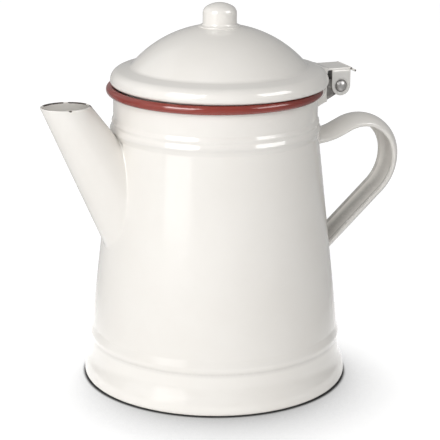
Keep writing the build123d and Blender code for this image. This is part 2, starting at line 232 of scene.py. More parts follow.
@dataclass
class Surface:
    """A mesh on its way: points in millimetres, faces as rows of point numbers, and values per point."""

    points: Array
    quads: Array
    values: dict[str, Array] = field(default_factory=dict)

    @staticmethod
    def from_grid(points: Array, wrap_rows: bool, wrap_columns: bool, **values: Array) -> "Surface":
        """Surface over a grid of points, row by row.

        Args:
            points: Array of rows, columns and three coordinates.
            wrap_rows: Whether the last row joins the first.
            wrap_columns: Whether the last column joins the first.
            **values: Named values, one for each point of the grid.

        Returns:
            The surface, with one quad between each four neighbours.
        """
        rows, columns = points.shape[:2]
        number = np.arange(rows * columns).reshape(rows, columns)
        if wrap_rows:
            number = np.concatenate([number, number[:1]])
        if wrap_columns:
            number = np.concatenate([number, number[:, :1]], axis=1)
        quads = np.stack([number[:-1, :-1], number[:-1, 1:], number[1:, 1:], number[1:, :-1]], -1).reshape(-1, 4)
        flat = {name: np.broadcast_to(value, (rows, columns)).reshape(-1) for name, value in values.items()}
        return Surface(points.reshape(-1, 3), quads, flat)

    def signed_volume(self) -> float:
        """Volume inside the surface, negative when its faces point inwards."""
        a, b, c, d = (self.points[self.quads[:, k]] for k in range(4))
        return float((np.cross(a, b) * c).sum() + (np.cross(a, c) * d).sum()) / 6

    def facing_out(self) -> "Surface":
        """The closed surface with its faces pointing outwards."""
        if self.signed_volume() < 0:
            return Surface(self.points, self.quads[:, ::-1], self.values)
        return self

    def piece(self, name: str) -> bpy.types.Object:
        """Makes the Blender object, in metres, at the origin and with doubles at its poles merged.

        Args:
            name: Name of the object and its mesh.

        Returns:
            The smooth-shaded object.
        """
        mesh = bpy.data.meshes.new(name)
        count = len(self.quads)
        mesh.vertices.add(len(self.points))
        mesh.vertices.foreach_set("co", (self.points * MM).astype(np.float32).ravel())
        mesh.loops.add(count * 4)
        mesh.loops.foreach_set("vertex_index", self.quads.astype(np.int32).ravel())
        mesh.polygons.add(count)
        mesh.polygons.foreach_set("loop_start", np.arange(0, count * 4, 4, dtype=np.int32))
        for key, value in self.values.items():
            layer = mesh.attributes.new(key, "FLOAT", "POINT")
            layer.data.foreach_set("value", value.astype(np.float32))
        mesh.update(calc_edges=True)
        mesh.validate()
        merge_doubles(mesh)
        mesh.polygons.foreach_set("use_smooth", np.ones(len(mesh.polygons), bool))
        piece = bpy.data.objects.new(name, mesh)
        bpy.context.scene.collection.objects.link(piece)
        return piece


def merge_doubles(mesh: bpy.types.Mesh, distance: float = 2e-7) -> None:
    """Merges points of a mesh that lie closer together than a distance in metres."""
    work = bmesh.new()
    work.from_mesh(mesh)
    bmesh.ops.remove_doubles(work, verts=work.verts, dist=distance)
    work.to_mesh(mesh)
    work.free()


def joined(surfaces: list[Surface]) -> Surface:
    """Several surfaces as one, their points numbered on.

    Args:
        surfaces: The surfaces, each with the same named values or none.

    Returns:
        One surface that holds them all.
    """
    starts = np.cumsum([0] + [len(s.points) for s in surfaces[:-1]])
    names = {name for s in surfaces for name in s.values}
    values = {
        name: np.concatenate([s.values.get(name, np.zeros(len(s.points))) for s in surfaces]) for name in names
    }
    quads = np.concatenate([s.quads + start for s, start in zip(surfaces, starts)])
    return Surface(np.concatenate([s.points for s in surfaces]), quads, values)


def unevenness(angle: Array, height: Array, amount: float, seed: int) -> Array:
    """Slight hand-made waviness: a sum of slow waves round and along the piece, each with its own phase.

    Args:
        angle: Angle round the axis, in radians.
        height: Height in millimetres.
        amount: Largest departure, about.
        seed: Number that picks the phases.

    Returns:
        The departure at each point.
    """
    rng = np.random.default_rng(seed)
    total = np.zeros(np.broadcast(angle, height).shape)
    for lobes in (2, 3, 5, 8):
        phase = rng.uniform(0, 2 * math.pi, 2)
        length = rng.uniform(45, 120)
        total = total + np.cos(lobes * angle + phase[0]) * np.cos(2 * math.pi * height / length + phase[1]) / lobes
    return amount * total / 1.2


def revolved(loop: Array, columns: int, centre_x: float = 0.0, closed: bool = True, wave: float = 0.0,
             seed: int = 1, **values: Array) -> Surface:
    """Surface of revolution: each point of a line in radius and height is carried once round the Z axis.

    Args:
        loop: Radius and height of each point.
        columns: Steps round the axis.
        centre_x: X of the axis.
        closed: Whether the line is a loop.
        wave: Waviness of the radius.
        seed: Number that picks the waviness.
        **values: Named values, one for each point of the line.

    Returns:
        The surface.
    """
    angle = once_round(columns)
    radius, height = loop[:, :1], loop[:, 1:2]
    fade = np.clip(radius / 20, 0, 1)
    reach = radius + fade * unevenness(angle, height, wave, seed)
    grid = grid_of(centre_x + reach * np.cos(angle), reach * np.sin(angle), height)
    named = {name: np.asarray(value)[:, None] for name, value in values.items()}
    return Surface.from_grid(grid, closed, True, **named).facing_out()


# Fields hold the distance in millimetres to a shape, negative inside.


def polygon_field(corners: Array, x: Array, y: Array) -> Array:
    """Signed distance to a closed polygon: the least distance to an edge, negative where edges wind round.

    Args:
        corners: The polygon's corners in order.
        x: First coordinate of the places asked.
        y: Second coordinate of the places asked.

    Returns:
        The distance at each place.
    """
    start = corners[:, None, None]
    edge = (np.roll(corners, -1, axis=0) - corners)[:, None, None]
    off = np.stack([x, y], -1)[None] - start
    share = np.clip((off * edge).sum(-1) / np.maximum((edge**2).sum(-1), 1e-12), 0, 1)
    distance = np.linalg.norm(off - share[..., None] * edge, axis=-1).min(0)
    above = off[..., 1] >= 0
    next_above = off[..., 1] - edge[..., 1] >= 0
    cross = edge[..., 0] * off[..., 1] - edge[..., 1] * off[..., 0]
    winding = (above & ~next_above & (cross > 0)).sum(0) - (~above & next_above & (cross < 0)).sum(0)
    return np.where(winding != 0, -distance, distance)


def slab(place: Array, low: float, high: float) -> Array:
    """Field between two parallel planes: the distance from the middle less half the thickness."""
    return np.abs(place - (low + high) / 2) - (high - low) / 2


def rounded_corner(a: Array, b: Array, rounding: float) -> Array:
    """Field inside two faces at right angles, with the corner between them rounded to a radius.

    Args:
        a: Field of the one face.
        b: Field of the other.
        rounding: Radius of the corner.

    Returns:
        The larger of the two inside, and the distance to the corner's arc outside.
    """
    a, b = a + rounding, b + rounding
    return np.minimum(np.maximum(a, b), 0) + np.hypot(np.maximum(a, 0), np.maximum(b, 0)) - rounding


def extruded(flat: Array, across: Array, half: float, rounding: float) -> Array:
    """Field of a plate: an outline's field drawn out to a half thickness, its edges rounded."""
    return rounded_corner(flat, np.abs(across) - half, rounding)


def blended(a: Array, b: Array, reach: float) -> Array:
    """Union of two fields with a fillet: the smaller one, less a parabola where the two are within the reach."""
    near = np.maximum(reach - np.abs(a - b), 0) / reach
    return np.minimum(a, b) - near**2 * reach / 4


def common(a: Array, b: Array, reach: float) -> Array:
    """Intersection of two fields with a rounded edge, the mirror image of their blended union."""
    return -blended(-a, -b, reach)


@dataclass
class Block:
    """A block of space on a regular grid, in which a field is worked out and skinned."""

    low: tuple[float, float, float]
    high: tuple[float, float, float]
    step: float

    def axes(self) -> tuple[Array, Array, Array]:
        """The grid's coordinates along X, Y and Z, shaped so that they broadcast to the whole block."""
        lines = [np.arange(a, b + self.step / 2, self.step) for a, b in zip(self.low, self.high)]
        return lines[0][:, None, None], lines[1][None, :, None], lines[2][None, None, :]

    def about(self, offset: float) -> "Block":
        """The block seen from an axis that lies further along X by an offset."""
        low, high = (self.low[0] - offset, *self.low[1:]), (self.high[0] - offset, *self.high[1:])
        return Block(low, high, self.step)

    def revolved_field(self, corners: Array) -> Array:
        """Field of a solid of revolution about Z: a polygon's field in radius and height, read at each radius.

        Args:
            corners: The solid's outline in radius and height.

        Returns:
            The field over the block.
        """
        x, y, z = self.axes()
        radius = np.hypot(x, y)[:, :, 0]
        line = np.arange(radius.min() - 2 * self.step, radius.max() + 3 * self.step, self.step)
        flat = polygon_field(corners, *np.meshgrid(line, z.ravel(), indexing="ij"))
        place = (radius - line[0]) / self.step
        first = place.astype(int)
        share = (place - first)[..., None]
        return flat[first] * (1 - share) + flat[first + 1] * share

    def skinned(self, values: Array) -> Surface:
        """Surface where the field is zero.

        Args:
            values: The field over the block.

        Returns:
            The surface, in millimetres.
        """
        band = 3 * self.step
        grid = openvdb.FloatGrid(band)
        grid.copyFromArray(np.clip(values, -band, band).astype(np.float32))
        points, quads = grid.convertToQuads(0.0)
        return Surface(points * self.step + np.array(self.low), quads.astype(np.int64)).facing_out()


# Finishes, worked out by nodes.


class Shader:
    """A material's node tree and the few kinds of node that the finishes use."""

    def __init__(self, name: str) -> None:
        """Starts a material with a principled shader.

        Args:
            name: The material's name.
        """
        self.material = bpy.data.materials.new(name)
        self.material.use_nodes = True
        self.tree = self.material.node_tree
        self.tree.nodes.clear()
        self.shader = self.add("ShaderNodeBsdfPrincipled")
        output = self.add("ShaderNodeOutputMaterial")
        self.link(self.shader.outputs["BSDF"], output.inputs["Surface"])
        self.place = self.add("ShaderNodeTexCoord").outputs["Object"]

    def add(self, kind: str, **settings: object) -> bpy.types.Node:
        """Adds a node of a kind with its settings."""
        node = self.tree.nodes.new(kind)
        for key, value in settings.items():
            setattr(node, key, value)
        return node

    def link(self, source: bpy.types.NodeSocket, target: bpy.types.NodeSocket) -> None:
        """Links two sockets."""
        self.tree.links.new(source, target)

    def noise(self, per_metre: float, detail: float = 3.0, roughness: float = 0.5) -> bpy.types.NodeSocket:
        """Noise on object coordinates, with so many waves to the metre."""
        node = self.add("ShaderNodeTexNoise")
        self.link(self.place, node.inputs["Vector"])
        node.inputs["Scale"].default_value = per_metre
        node.inputs["Detail"].default_value = detail
        node.inputs["Roughness"].default_value = roughness
        return node.outputs["Fac"]

    def attribute(self, name: str) -> bpy.types.NodeSocket:
        """A piece's own value per point."""
        return self.add("ShaderNodeAttribute", attribute_name=name).outputs["Fac"]

    def range(self, value: bpy.types.NodeSocket, low: float, high: float, to_low: float = 0.0,
              to_high: float = 1.0) -> bpy.types.NodeSocket:
        """A value carried from one range to another and held inside it, with soft ends."""
        node = self.add("ShaderNodeMapRange", interpolation_type="SMOOTHSTEP")
        self.link(value, node.inputs["Value"])
        for key, number in zip(("From Min", "From Max", "To Min", "To Max"), (low, high, to_low, to_high)):
            node.inputs[key].default_value = number
        return node.outputs["Result"]

    def math(self, kind: str, a: object, b: object) -> bpy.types.NodeSocket:
        """A sum, product or other operation on two sockets or numbers."""
        node = self.add("ShaderNodeMath", operation=kind)
        for slot, value in zip(node.inputs, (a, b)):
            if isinstance(value, (int, float)):
                slot.default_value = value
            else:
                self.link(value, slot)
        return node.outputs["Value"]

    def mix(self, share: bpy.types.NodeSocket, a: object, b: object) -> bpy.types.NodeSocket:
        """A colour between two colours or sockets, by a share from 0 to 1."""
        node = self.add("ShaderNodeMix", data_type="RGBA")
        self.link(share, node.inputs["Factor"])
        for slot, value in ((node.inputs[6], a), (node.inputs[7], b)):
            if isinstance(value, tuple):
                slot.default_value = (*value, 1.0)
            else:
                self.link(value, slot)
        return node.outputs[2]

    def bump(self, height: bpy.types.NodeSocket, distance: float, below: object = None) -> bpy.types.NodeSocket:
        """A normal bent by a height, whose full range is a distance in metres."""
        node = self.add("ShaderNodeBump")
        node.inputs["Strength"].default_value = 1.0
        node.inputs["Distance"].default_value = distance
        self.link(height, node.inputs["Height"])
        if below is not None:
            self.link(below, node.inputs["Normal"])
        return node.outputs["Normal"]


@dataclass(frozen=True)
class Enamel:
    """Glossy vitreous enamel on sheet steel: slight clouds of colour, pinholes, and bare steel where it has chipped.

    A piece's values say where it differs: "thin" from 0 to 1 on enamel drawn thinly over edges and where shade is
    painted in a greyer tone, "bare" from 0 to 1 where it may have chipped, "other" from 0 to 1 where the second
    colour shows, and "grime" from 0 to 1 where shade in crevices, creases and hollows is painted in a dark colour.
    """

    name: str
    colour: tuple[float, float, float]
    cloud: tuple[float, float, float]
    # Greyer colour of enamel drawn thinly, also used as painted shade.
    thin: tuple[float, float, float]
    other: tuple[float, float, float]
    steel: tuple[float, float, float] = (0.035, 0.03, 0.027)
    # Dark colour of painted shade in crevices, creases and hollows.
    grime: tuple[float, float, float] = (0.050, 0.045, 0.040)
    roughness: float = 0.09
    ripple: float = 0.00007
    peel: float = 0.0000035

    def material(self) -> bpy.types.Material:
        """Builds the material."""
        shader = Shader(self.name)
        clouds = shader.range(shader.noise(28.0, 4.0, 0.6), 0.35, 0.7)
        colour = shader.mix(clouds, self.colour, self.cloud)
        colour = shader.mix(shader.range(shader.attribute("other"), 0.35, 0.65), colour, self.other)
        # Enamel drawn thinly takes the greyer colour, which also paints shade on shaded faces; crevices and hollows
        # take the dark colour of painted shade, broken up by patches.
        colour = shader.mix(shader.math("MULTIPLY", shader.attribute("thin"), 0.8), colour, self.thin)
        patches = shader.range(shader.noise(650.0, 4.0, 0.6), 0.25, 0.6, 0.75, 1.0)
        colour = shader.mix(shader.math("MULTIPLY", shader.attribute("grime"), patches), colour, self.grime)
        pits = self.pinholes(shader)
        colour = shader.mix(pits, colour, self.steel)
        grain = shader.noise(900.0, 5.0, 0.65)
        worn = shader.math("ADD", shader.attribute("bare"), shader.math("MULTIPLY", grain, 0.55))
        bare = shader.range(worn, 0.78, 0.86)
        rust = shader.mix(shader.range(shader.noise(1500.0, 4.0), 0.45, 0.65), self.steel, (0.10, 0.055, 0.03))
        colour = shader.mix(bare, colour, rust)
        shader.link(colour, shader.shader.inputs["Base Color"])
        smears = shader.range(shader.noise(45.0, 6.0, 0.7), 0.3, 0.75, self.roughness, self.roughness + 0.05)
        rough = shader.math("ADD", smears, shader.math("MULTIPLY", bare, 0.4))
        shader.link(rough, shader.shader.inputs["Roughness"])
        shader.shader.inputs["IOR"].default_value = 1.52
        normal = shader.bump(shader.noise(22.0, 1.0), self.ripple)
        normal = shader.bump(shader.noise(420.0, 2.0), self.peel, normal)
        normal = shader.bump(shader.math("MULTIPLY", shader.math("ADD", bare, pits), -1.0), 0.00012, normal)
        shader.link(normal, shader.shader.inputs["Normal"])
        return shader.material

    def pinholes(self, shader: Shader) -> bpy.types.NodeSocket:
        """Mask of a few tiny dark specks: the middles of scattered cells, in the few cells that hold one.

        Args:
            shader: The material's nodes.

        Returns:
            The mask, from 0 to 1.
        """
        cells = shader.add("ShaderNodeTexVoronoi", feature="F1")
        shader.link(shader.place, cells.inputs["Vector"])
        cells.inputs["Scale"].default_value = 75.0
        near = shader.range(cells.outputs["Distance"], 0.012, 0.03, 1.0, 0.0)
        pick = shader.add("ShaderNodeSeparateColor")
        shader.link(cells.outputs["Color"], pick.inputs["Color"])
        few = shader.range(pick.outputs["Red"], 0.93, 0.94)
        return shader.math("MULTIPLY", shader.math("MULTIPLY", near, few), 0.75)


@dataclass(frozen=True)
class BareSteel:
    """Bright steel gone dull: fine scratches, and painted shade darkening the rim of the head where it sits in its
    recess.
    """

    name: str
    colour: tuple[float, float, float]
    grime: tuple[float, float, float]
    roughness: float

    def material(self) -> bpy.types.Material:
        """Builds the material."""
        shader = Shader(self.name)
        tone = shader.range(shader.noise(700.0, 5.0, 0.7), 0.3, 0.7)
        colour = shader.mix(tone, self.colour, tuple(0.82 * c for c in self.colour))
        # Painted shade: the rim of the head is darkened.
        colour = shader.mix(shader.range(shader.attribute("grime"), 0.2, 0.9), colour, self.grime)
        shader.link(colour, shader.shader.inputs["Base Color"])
        shader.shader.inputs["Metallic"].default_value = 1.0
        rough = shader.range(shader.noise(1800.0, 4.0, 0.6), 0.2, 0.8, self.roughness, self.roughness + 0.18)
        shader.link(rough, shader.shader.inputs["Roughness"])
        normal = shader.bump(shader.noise(2600.0, 4.0, 0.7), 0.00002)
        shader.link(normal, shader.shader.inputs["Normal"])
        return shader.material


WHITE = (0.80, 0.775, 0.735)
RED = (0.26, 0.040, 0.028)


@dataclass
class Finishes:
    """The pot's finishes, each made once."""

    white: bpy.types.Material = field(init=False)
    red: bpy.types.Material = field(init=False)
    rivet: bpy.types.Material = field(init=False)

    def __post_init__(self) -> None:
        """Makes the materials."""
        # The white's greyer third colour marks enamel drawn thinly on the beads and paints shade on the hinge leaf;
        # the red's darker third colour paints shade on the rim near the hinge.
        self.white = Enamel("white_enamel", WHITE, (0.785, 0.758, 0.715), (0.56, 0.55, 0.53), RED).material()
        self.red = Enamel("red_enamel", RED, (0.22, 0.034, 0.026), (0.10, 0.022, 0.018), WHITE).material()
        self.rivet = BareSteel("rivet_steel", (0.46, 0.45, 0.44), (0.05, 0.047, 0.043), 0.33).material()


# The pot's sub-assemblies.


@dataclass
class Part:
    """What the sub-assemblies share: the finishes, and how a finished piece is dressed and seated."""

    finishes: Finishes

    def dress(self, surface: Surface, name: str, node: str, body: Body, slot: Slot) -> bpy.types.Object:
        """Makes a piece, gives it its finish and lets it stand for its node.

        Args:
            surface: The piece's surface.
            name: The piece's name.
            node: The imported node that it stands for.
            body: The moving body that it rides on.
            slot: The record's slot of its finish.

        Returns:
            The piece.
        """
        piece = surface.piece(name)
        finish = {Slot.WHITE: self.finishes.white, Slot.RED: self.finishes.red, Slot.RIVET: self.finishes.rivet}
        piece.data.materials.append(finish[slot])
        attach(piece, body.value)
        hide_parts(node)
        LOG.info("%s: %d faces, stands for %s, rides on %s", name, len(piece.data.polygons), node, body.value)
        return piece


@dataclass
class Pot(Part):
    """Foot, cone, neck, rolled rim, base and strainer.

    Beads and the groove are given as their rise over the neck and their height over the cone. Wear and painted shade
    are given as their strength and the height over which they fade. The rim's painted shade near the hinge has its
    strength, and the bearing from the hinge at which it ends and over which it fades. The run of enamel on the rim
    has, for each bearing from the hinge, the angle round the roll up to which it is white.
    """

    sheet: float = 1.0
    foot_roll: float = 2.2
    flare_radius: float = 16.0
    flare_angle: float = 25.0
    hollow_radius: float = 18.8
    foot_run: float = 4.4
    foot_step: float = 0.5
    hem_width: float = 3.0
    foot_bead_band: float = 9.2
    foot_bead_rise: float = 0.65
    foot_bead_rounding: float = 5.0
    cone_base_radius: float = 66.9
    cone_top_radius: float = 53.9
    cone_length: float = 112.0
    bead_band: float = 9.5
    big_bead: tuple[float, float] = (1.9, 3.2)
    bead_groove: tuple[float, float] = (0.62, 5.9)
    small_bead: tuple[float, float] = (0.88, 7.4)
    bead_rounding: float = 1.7
    crease_rounding: float = 1.0
    crease_lift: float = 2.0
    band_rounding: float = 2.0
    neck_radius: float = 53.3
    neck_length: float = 14.0
    rim_roll: float = 2.3
    rim_curl: float = 290.0
    base_rise: float = 3.0
    base_slope: float = 2.0
    strainer_hole: float = 4.0
    strainer_pitch: float = 6.5
    strainer_rings: int = 2
    strainer_drop: float = 27.0
    wall_share: float = 0.95
    wall_columns: int = 200
    rim_columns: int = 288
    base_columns: int = 144
    # The hem's band of bare steel is wear, and also paints the dark shade where the foot meets the floor.
    hem_wear_and_shade: tuple[float, float] = (0.62, 1.1)
    bead_wear: tuple[float, float] = (0.25, 0.9)
    # Painted shade: a dark line along the foot's crease.
    crease_shade: tuple[float, float] = (0.16, 0.35)
    # Painted shade on the red rim near the hinge: its strength, the bearing where it ends and its fade.
    rim_shade: tuple[float, float, float] = (0.6, 76.0, 25.0)
    run_bearing: tuple[float, ...] = (26.0, 29.0, 32.0, 36.0, 40.0, 44.0, 46.0, 51.0, 56.0, 60.0, 62.0)
    run_edge: tuple[float, ...] = (190.0, 95.0, 58.0, 18.0, -4.0, -18.0, -25.0, -39.0, -52.0, -80.0, -200.0)

    def __post_init__(self) -> None:
        """Works out the heights and radii that follow from the sizes."""
        self.slope = (self.cone_base_radius - self.cone_top_radius) / self.cone_length
        lean = math.atan(self.slope)
        flare = math.radians(self.flare_angle)
        hollow_reach = self.hollow_radius * (math.cos(lean) - math.cos(flare))
        hollow_rise = self.hollow_radius * (math.sin(flare) - math.sin(lean))
        waist = self.cone_base_radius - self.foot_step
        self.foot_radius = (
            waist + self.foot_run * self.slope + hollow_reach + self.flare_radius * (1 - math.cos(flare))
        )
        self.foot_height = self.foot_roll + self.flare_radius * math.sin(flare) + hollow_rise + self.foot_run
        self.cone_top_z = self.foot_height + self.cone_length
        self.neck_z = self.cone_top_z + self.bead_band
        self.rim_z = self.neck_z + self.neck_length
        self.rim_top_z = self.rim_z + self.rim_roll
        self.rim_radius = self.neck_radius - self.sheet + self.rim_roll
        self.line = self.outer_line()

    def cone_radius(self, height: float) -> float:
        """Outer radius of the cone at a height."""
        return self.cone_base_radius - (height - self.foot_height) * self.slope

    def outer_line(self) -> Array:
        """Outer line of the wall in radius and height, from the hem over foot, cone, beads and neck to the rim."""
        hem_end = self.foot_radius - self.foot_roll
        start = np.array([hem_end, 0.0])
        roll, heading = turn(start, 0.0, self.foot_roll, 90.0)
        flare, heading = turn(roll[-1], heading, self.flare_radius, self.flare_angle)
        lean = math.degrees(math.atan(self.slope))
        hollow, heading = turn(flare[-1], heading, self.hollow_radius, lean - self.flare_angle)
        bead_z = self.foot_height + self.foot_bead_band / 2
        bead_end_z = self.foot_height + self.foot_bead_band
        corners = [
            tuple(hollow[-1]),
            (self.cone_base_radius - self.foot_step, self.foot_height + self.crease_lift),
            (self.cone_radius(bead_z) + self.foot_bead_rise, bead_z),
            (self.cone_radius(bead_end_z), bead_end_z),
            (self.cone_top_radius, self.cone_top_z),
            (self.neck_radius + self.big_bead[0], self.cone_top_z + self.big_bead[1]),
            (self.neck_radius + self.bead_groove[0], self.cone_top_z + self.bead_groove[1]),
            (self.neck_radius + self.small_bead[0], self.cone_top_z + self.small_bead[1]),
            (self.neck_radius, self.neck_z),
            (self.neck_radius, self.rim_z),
        ]
        rounding = [self.crease_rounding] + [self.foot_bead_rounding] * 2 + [self.band_rounding]
        rounding += [self.bead_rounding] * 3
        wall = filleted(corners, rounding + [self.band_rounding])
        hem = np.array([[hem_end - self.hem_width, 0.0], [hem_end, 0.0]])
        return spaced(np.concatenate([hem, roll, flare, hollow, wall]), 1.6)

    def radius_at(self, height: Array) -> Array:
        """Outer radius of the wall at heights above the foot's roll."""
        upper = self.line[self.line[:, 1] > self.foot_roll]
        return np.interp(height, upper[:, 1], upper[:, 0])

    def seat_radius_at(self, height: Array) -> Array:
        """Radius that the spout's root follows: the cone and the neck with one broad swelling for the beads."""
        heights = (self.foot_height, self.cone_top_z - 2, self.cone_top_z + 3.5, self.neck_z + 2, self.rim_z)
        radii = (self.cone_base_radius, self.cone_radius(self.cone_top_z - 2), self.neck_radius + 1.2,
                 self.neck_radius, self.neck_radius)
        return np.interp(height, heights, radii)

    def envelope(self) -> Array:
        """Outline of the pot's outer shape near the neck, with the rim's bead, in radius and height."""
        upper = self.line[self.line[:, 1] > self.cone_top_z - 20]
        upper = upper[upper[:, 1] < self.rim_z - self.rim_roll * 0.9]
        bead = arc((self.rim_radius, self.rim_z), self.rim_roll, -125, 180, 60)
        return np.concatenate([[[20.0, upper[0, 1]]], upper, bead, [[20.0, self.rim_z]]])

    def build_wall(self) -> bpy.types.Object:
        """The wall, from the hem to the rim, with the strainer's holes pierced through it."""
        loop = sheet_loop(self.line, self.wall_share * self.sheet, close_end=False)
        height = loop[:, 1]
        outer = np.arange(len(loop)) < len(self.line)
        # Bare steel at the hem: wear, and also painted shade where the foot meets the floor.
        wear, fade = self.hem_wear_and_shade
        bare = wear * np.clip(1 - height / fade, 0, 1) * outer
        wear, fade = self.bead_wear
        over_bead = height - self.cone_top_z - self.big_bead[1]
        thin = wear * np.exp(-((over_bead / fade) ** 2)) * outer
        # Painted shade: a dark line along the foot's crease.
        shade_strength, fade = self.crease_shade
        over_crease = height - self.foot_height - self.crease_lift
        grime = shade_strength * np.exp(-((over_crease / fade) ** 2)) * outer
        surface = revolved(loop, self.wall_columns, wave=0.035, seed=4, bare=bare, thin=thin, grime=grime)
        piece = self.dress(surface, "pot_wall", "body_shell", Body.POT, Slot.WHITE)
        self.pierce(piece)
        return piece

    def pierce(self, piece: bpy.types.Object) -> None:
        """Cuts the strainer: a hexagon of round holes through the wall inside the spout's root.

        Args:
            piece: The wall.
        """
        centre_z = self.cone_top_z - self.strainer_drop
        rings = self.strainer_rings
        punches = []
        for row in range(-rings, rings + 1):
            count = 2 * rings + 1 - abs(row)
            z = centre_z + row * self.strainer_pitch * math.sin(math.radians(60))
            for column in range(count):
                y = (column - (count - 1) / 2) * self.strainer_pitch
                punches.append(self.punch(-self.cone_radius(z), y, z))
        cutter = joined(punches).piece("strainer_punch")
        cut = piece.modifiers.new("strainer", "BOOLEAN")
        cut.operation = "DIFFERENCE"
        cut.solver = "EXACT"
        cut.object = cutter
        bpy.context.view_layer.update()
        mesh = bpy.data.meshes.new_from_object(piece.evaluated_get(bpy.context.evaluated_depsgraph_get()))
        piece.modifiers.clear()
        piece.data = mesh
        bpy.data.objects.remove(cutter)

    def punch(self, x: float, y: float, z: float, reach: float = 6.0, columns: int = 24) -> Surface:
        """A closed rod along X at a place: circles at four stations, the two end ones shrunk to the axis.

        Args:
            x: X of its middle.
            y: Y of its axis.
            z: Z of its axis.
            reach: How far it runs each way.
            columns: Steps round it.

        Returns:
            The rod.
        """
        angle = once_round(columns)
        station = np.array([-reach, -reach, reach, reach])[:, None]
        radius = self.strainer_hole / 2 * np.array([1e-4, 1.0, 1.0, 1e-4])[:, None]
        grid = grid_of(x + station, y + radius * np.cos(angle), z + radius * np.sin(angle))
        surface = Surface.from_grid(grid, False, True)
        caps = [Surface.from_grid(np.stack([grid[k], np.broadcast_to(grid[k].mean(0), grid[k].shape)]), False, True)
                for k in (0, -1)]
        return joined([surface, *caps]).facing_out()

    def build_rim(self) -> bpy.types.Object:
        """The rolled rim: the sheet's curl in red, with painted shade darkening it near the hinge, beside a white run
        of enamel.
        """
        centre = (self.rim_radius, self.rim_z)
        line = arc(centre, self.rim_roll, 180, 180 - self.rim_curl, 60)
        loop = sheet_loop(line[::-1], self.sheet, close_end=False)
        round_tube = np.degrees(np.arctan2(loop[:, 1] - self.rim_z, loop[:, 0] - self.rim_radius))[:, None]
        around = np.degrees(once_round(self.rim_columns))
        from_hinge = np.abs((around + 180) % 360 - 180)
        edge = np.interp(from_hinge, self.run_bearing, self.run_edge)
        white = np.clip((edge - round_tube) / 8 + 0.5, 0, 1)
        surface = revolved(loop, self.rim_columns, wave=0.03, seed=7)
        surface.values["other"] = white.reshape(-1)
        # Painted shade: the red is darkened near the hinge and fades out with bearing from it.
        strength, end, fade = self.rim_shade
        rim_shade = np.broadcast_to(strength * np.clip((end - from_hinge) / fade, 0, 1), white.shape)
        surface.values["thin"] = (rim_shade * (1 - white)).reshape(-1)
        return self.dress(surface, "rim_roll", "rim_bead", Body.POT, Slot.RED)

    def build_base(self) -> bpy.types.Object:
        """The dished bottom, seated on the hem."""
        seat = self.foot_radius - self.foot_roll
        inner = seat - self.hem_width
        dish = inner - self.base_slope
        low, high = self.sheet, self.base_rise
        line = filleted([(seat, low), (inner, low), (dish, high), (0.0, high)], [1.5, 1.5])
        line = spaced(line[::-1], 4.0)
        loop = sheet_loop(line, -self.sheet, close_start=False)
        return self.dress(revolved(loop, self.base_columns), "base_dish", "base_plate", Body.POT, Slot.WHITE)

    def build(self) -> None:
        """Builds the wall, the rim and the base."""
        self.build_wall()
        self.build_rim()
        self.build_base()


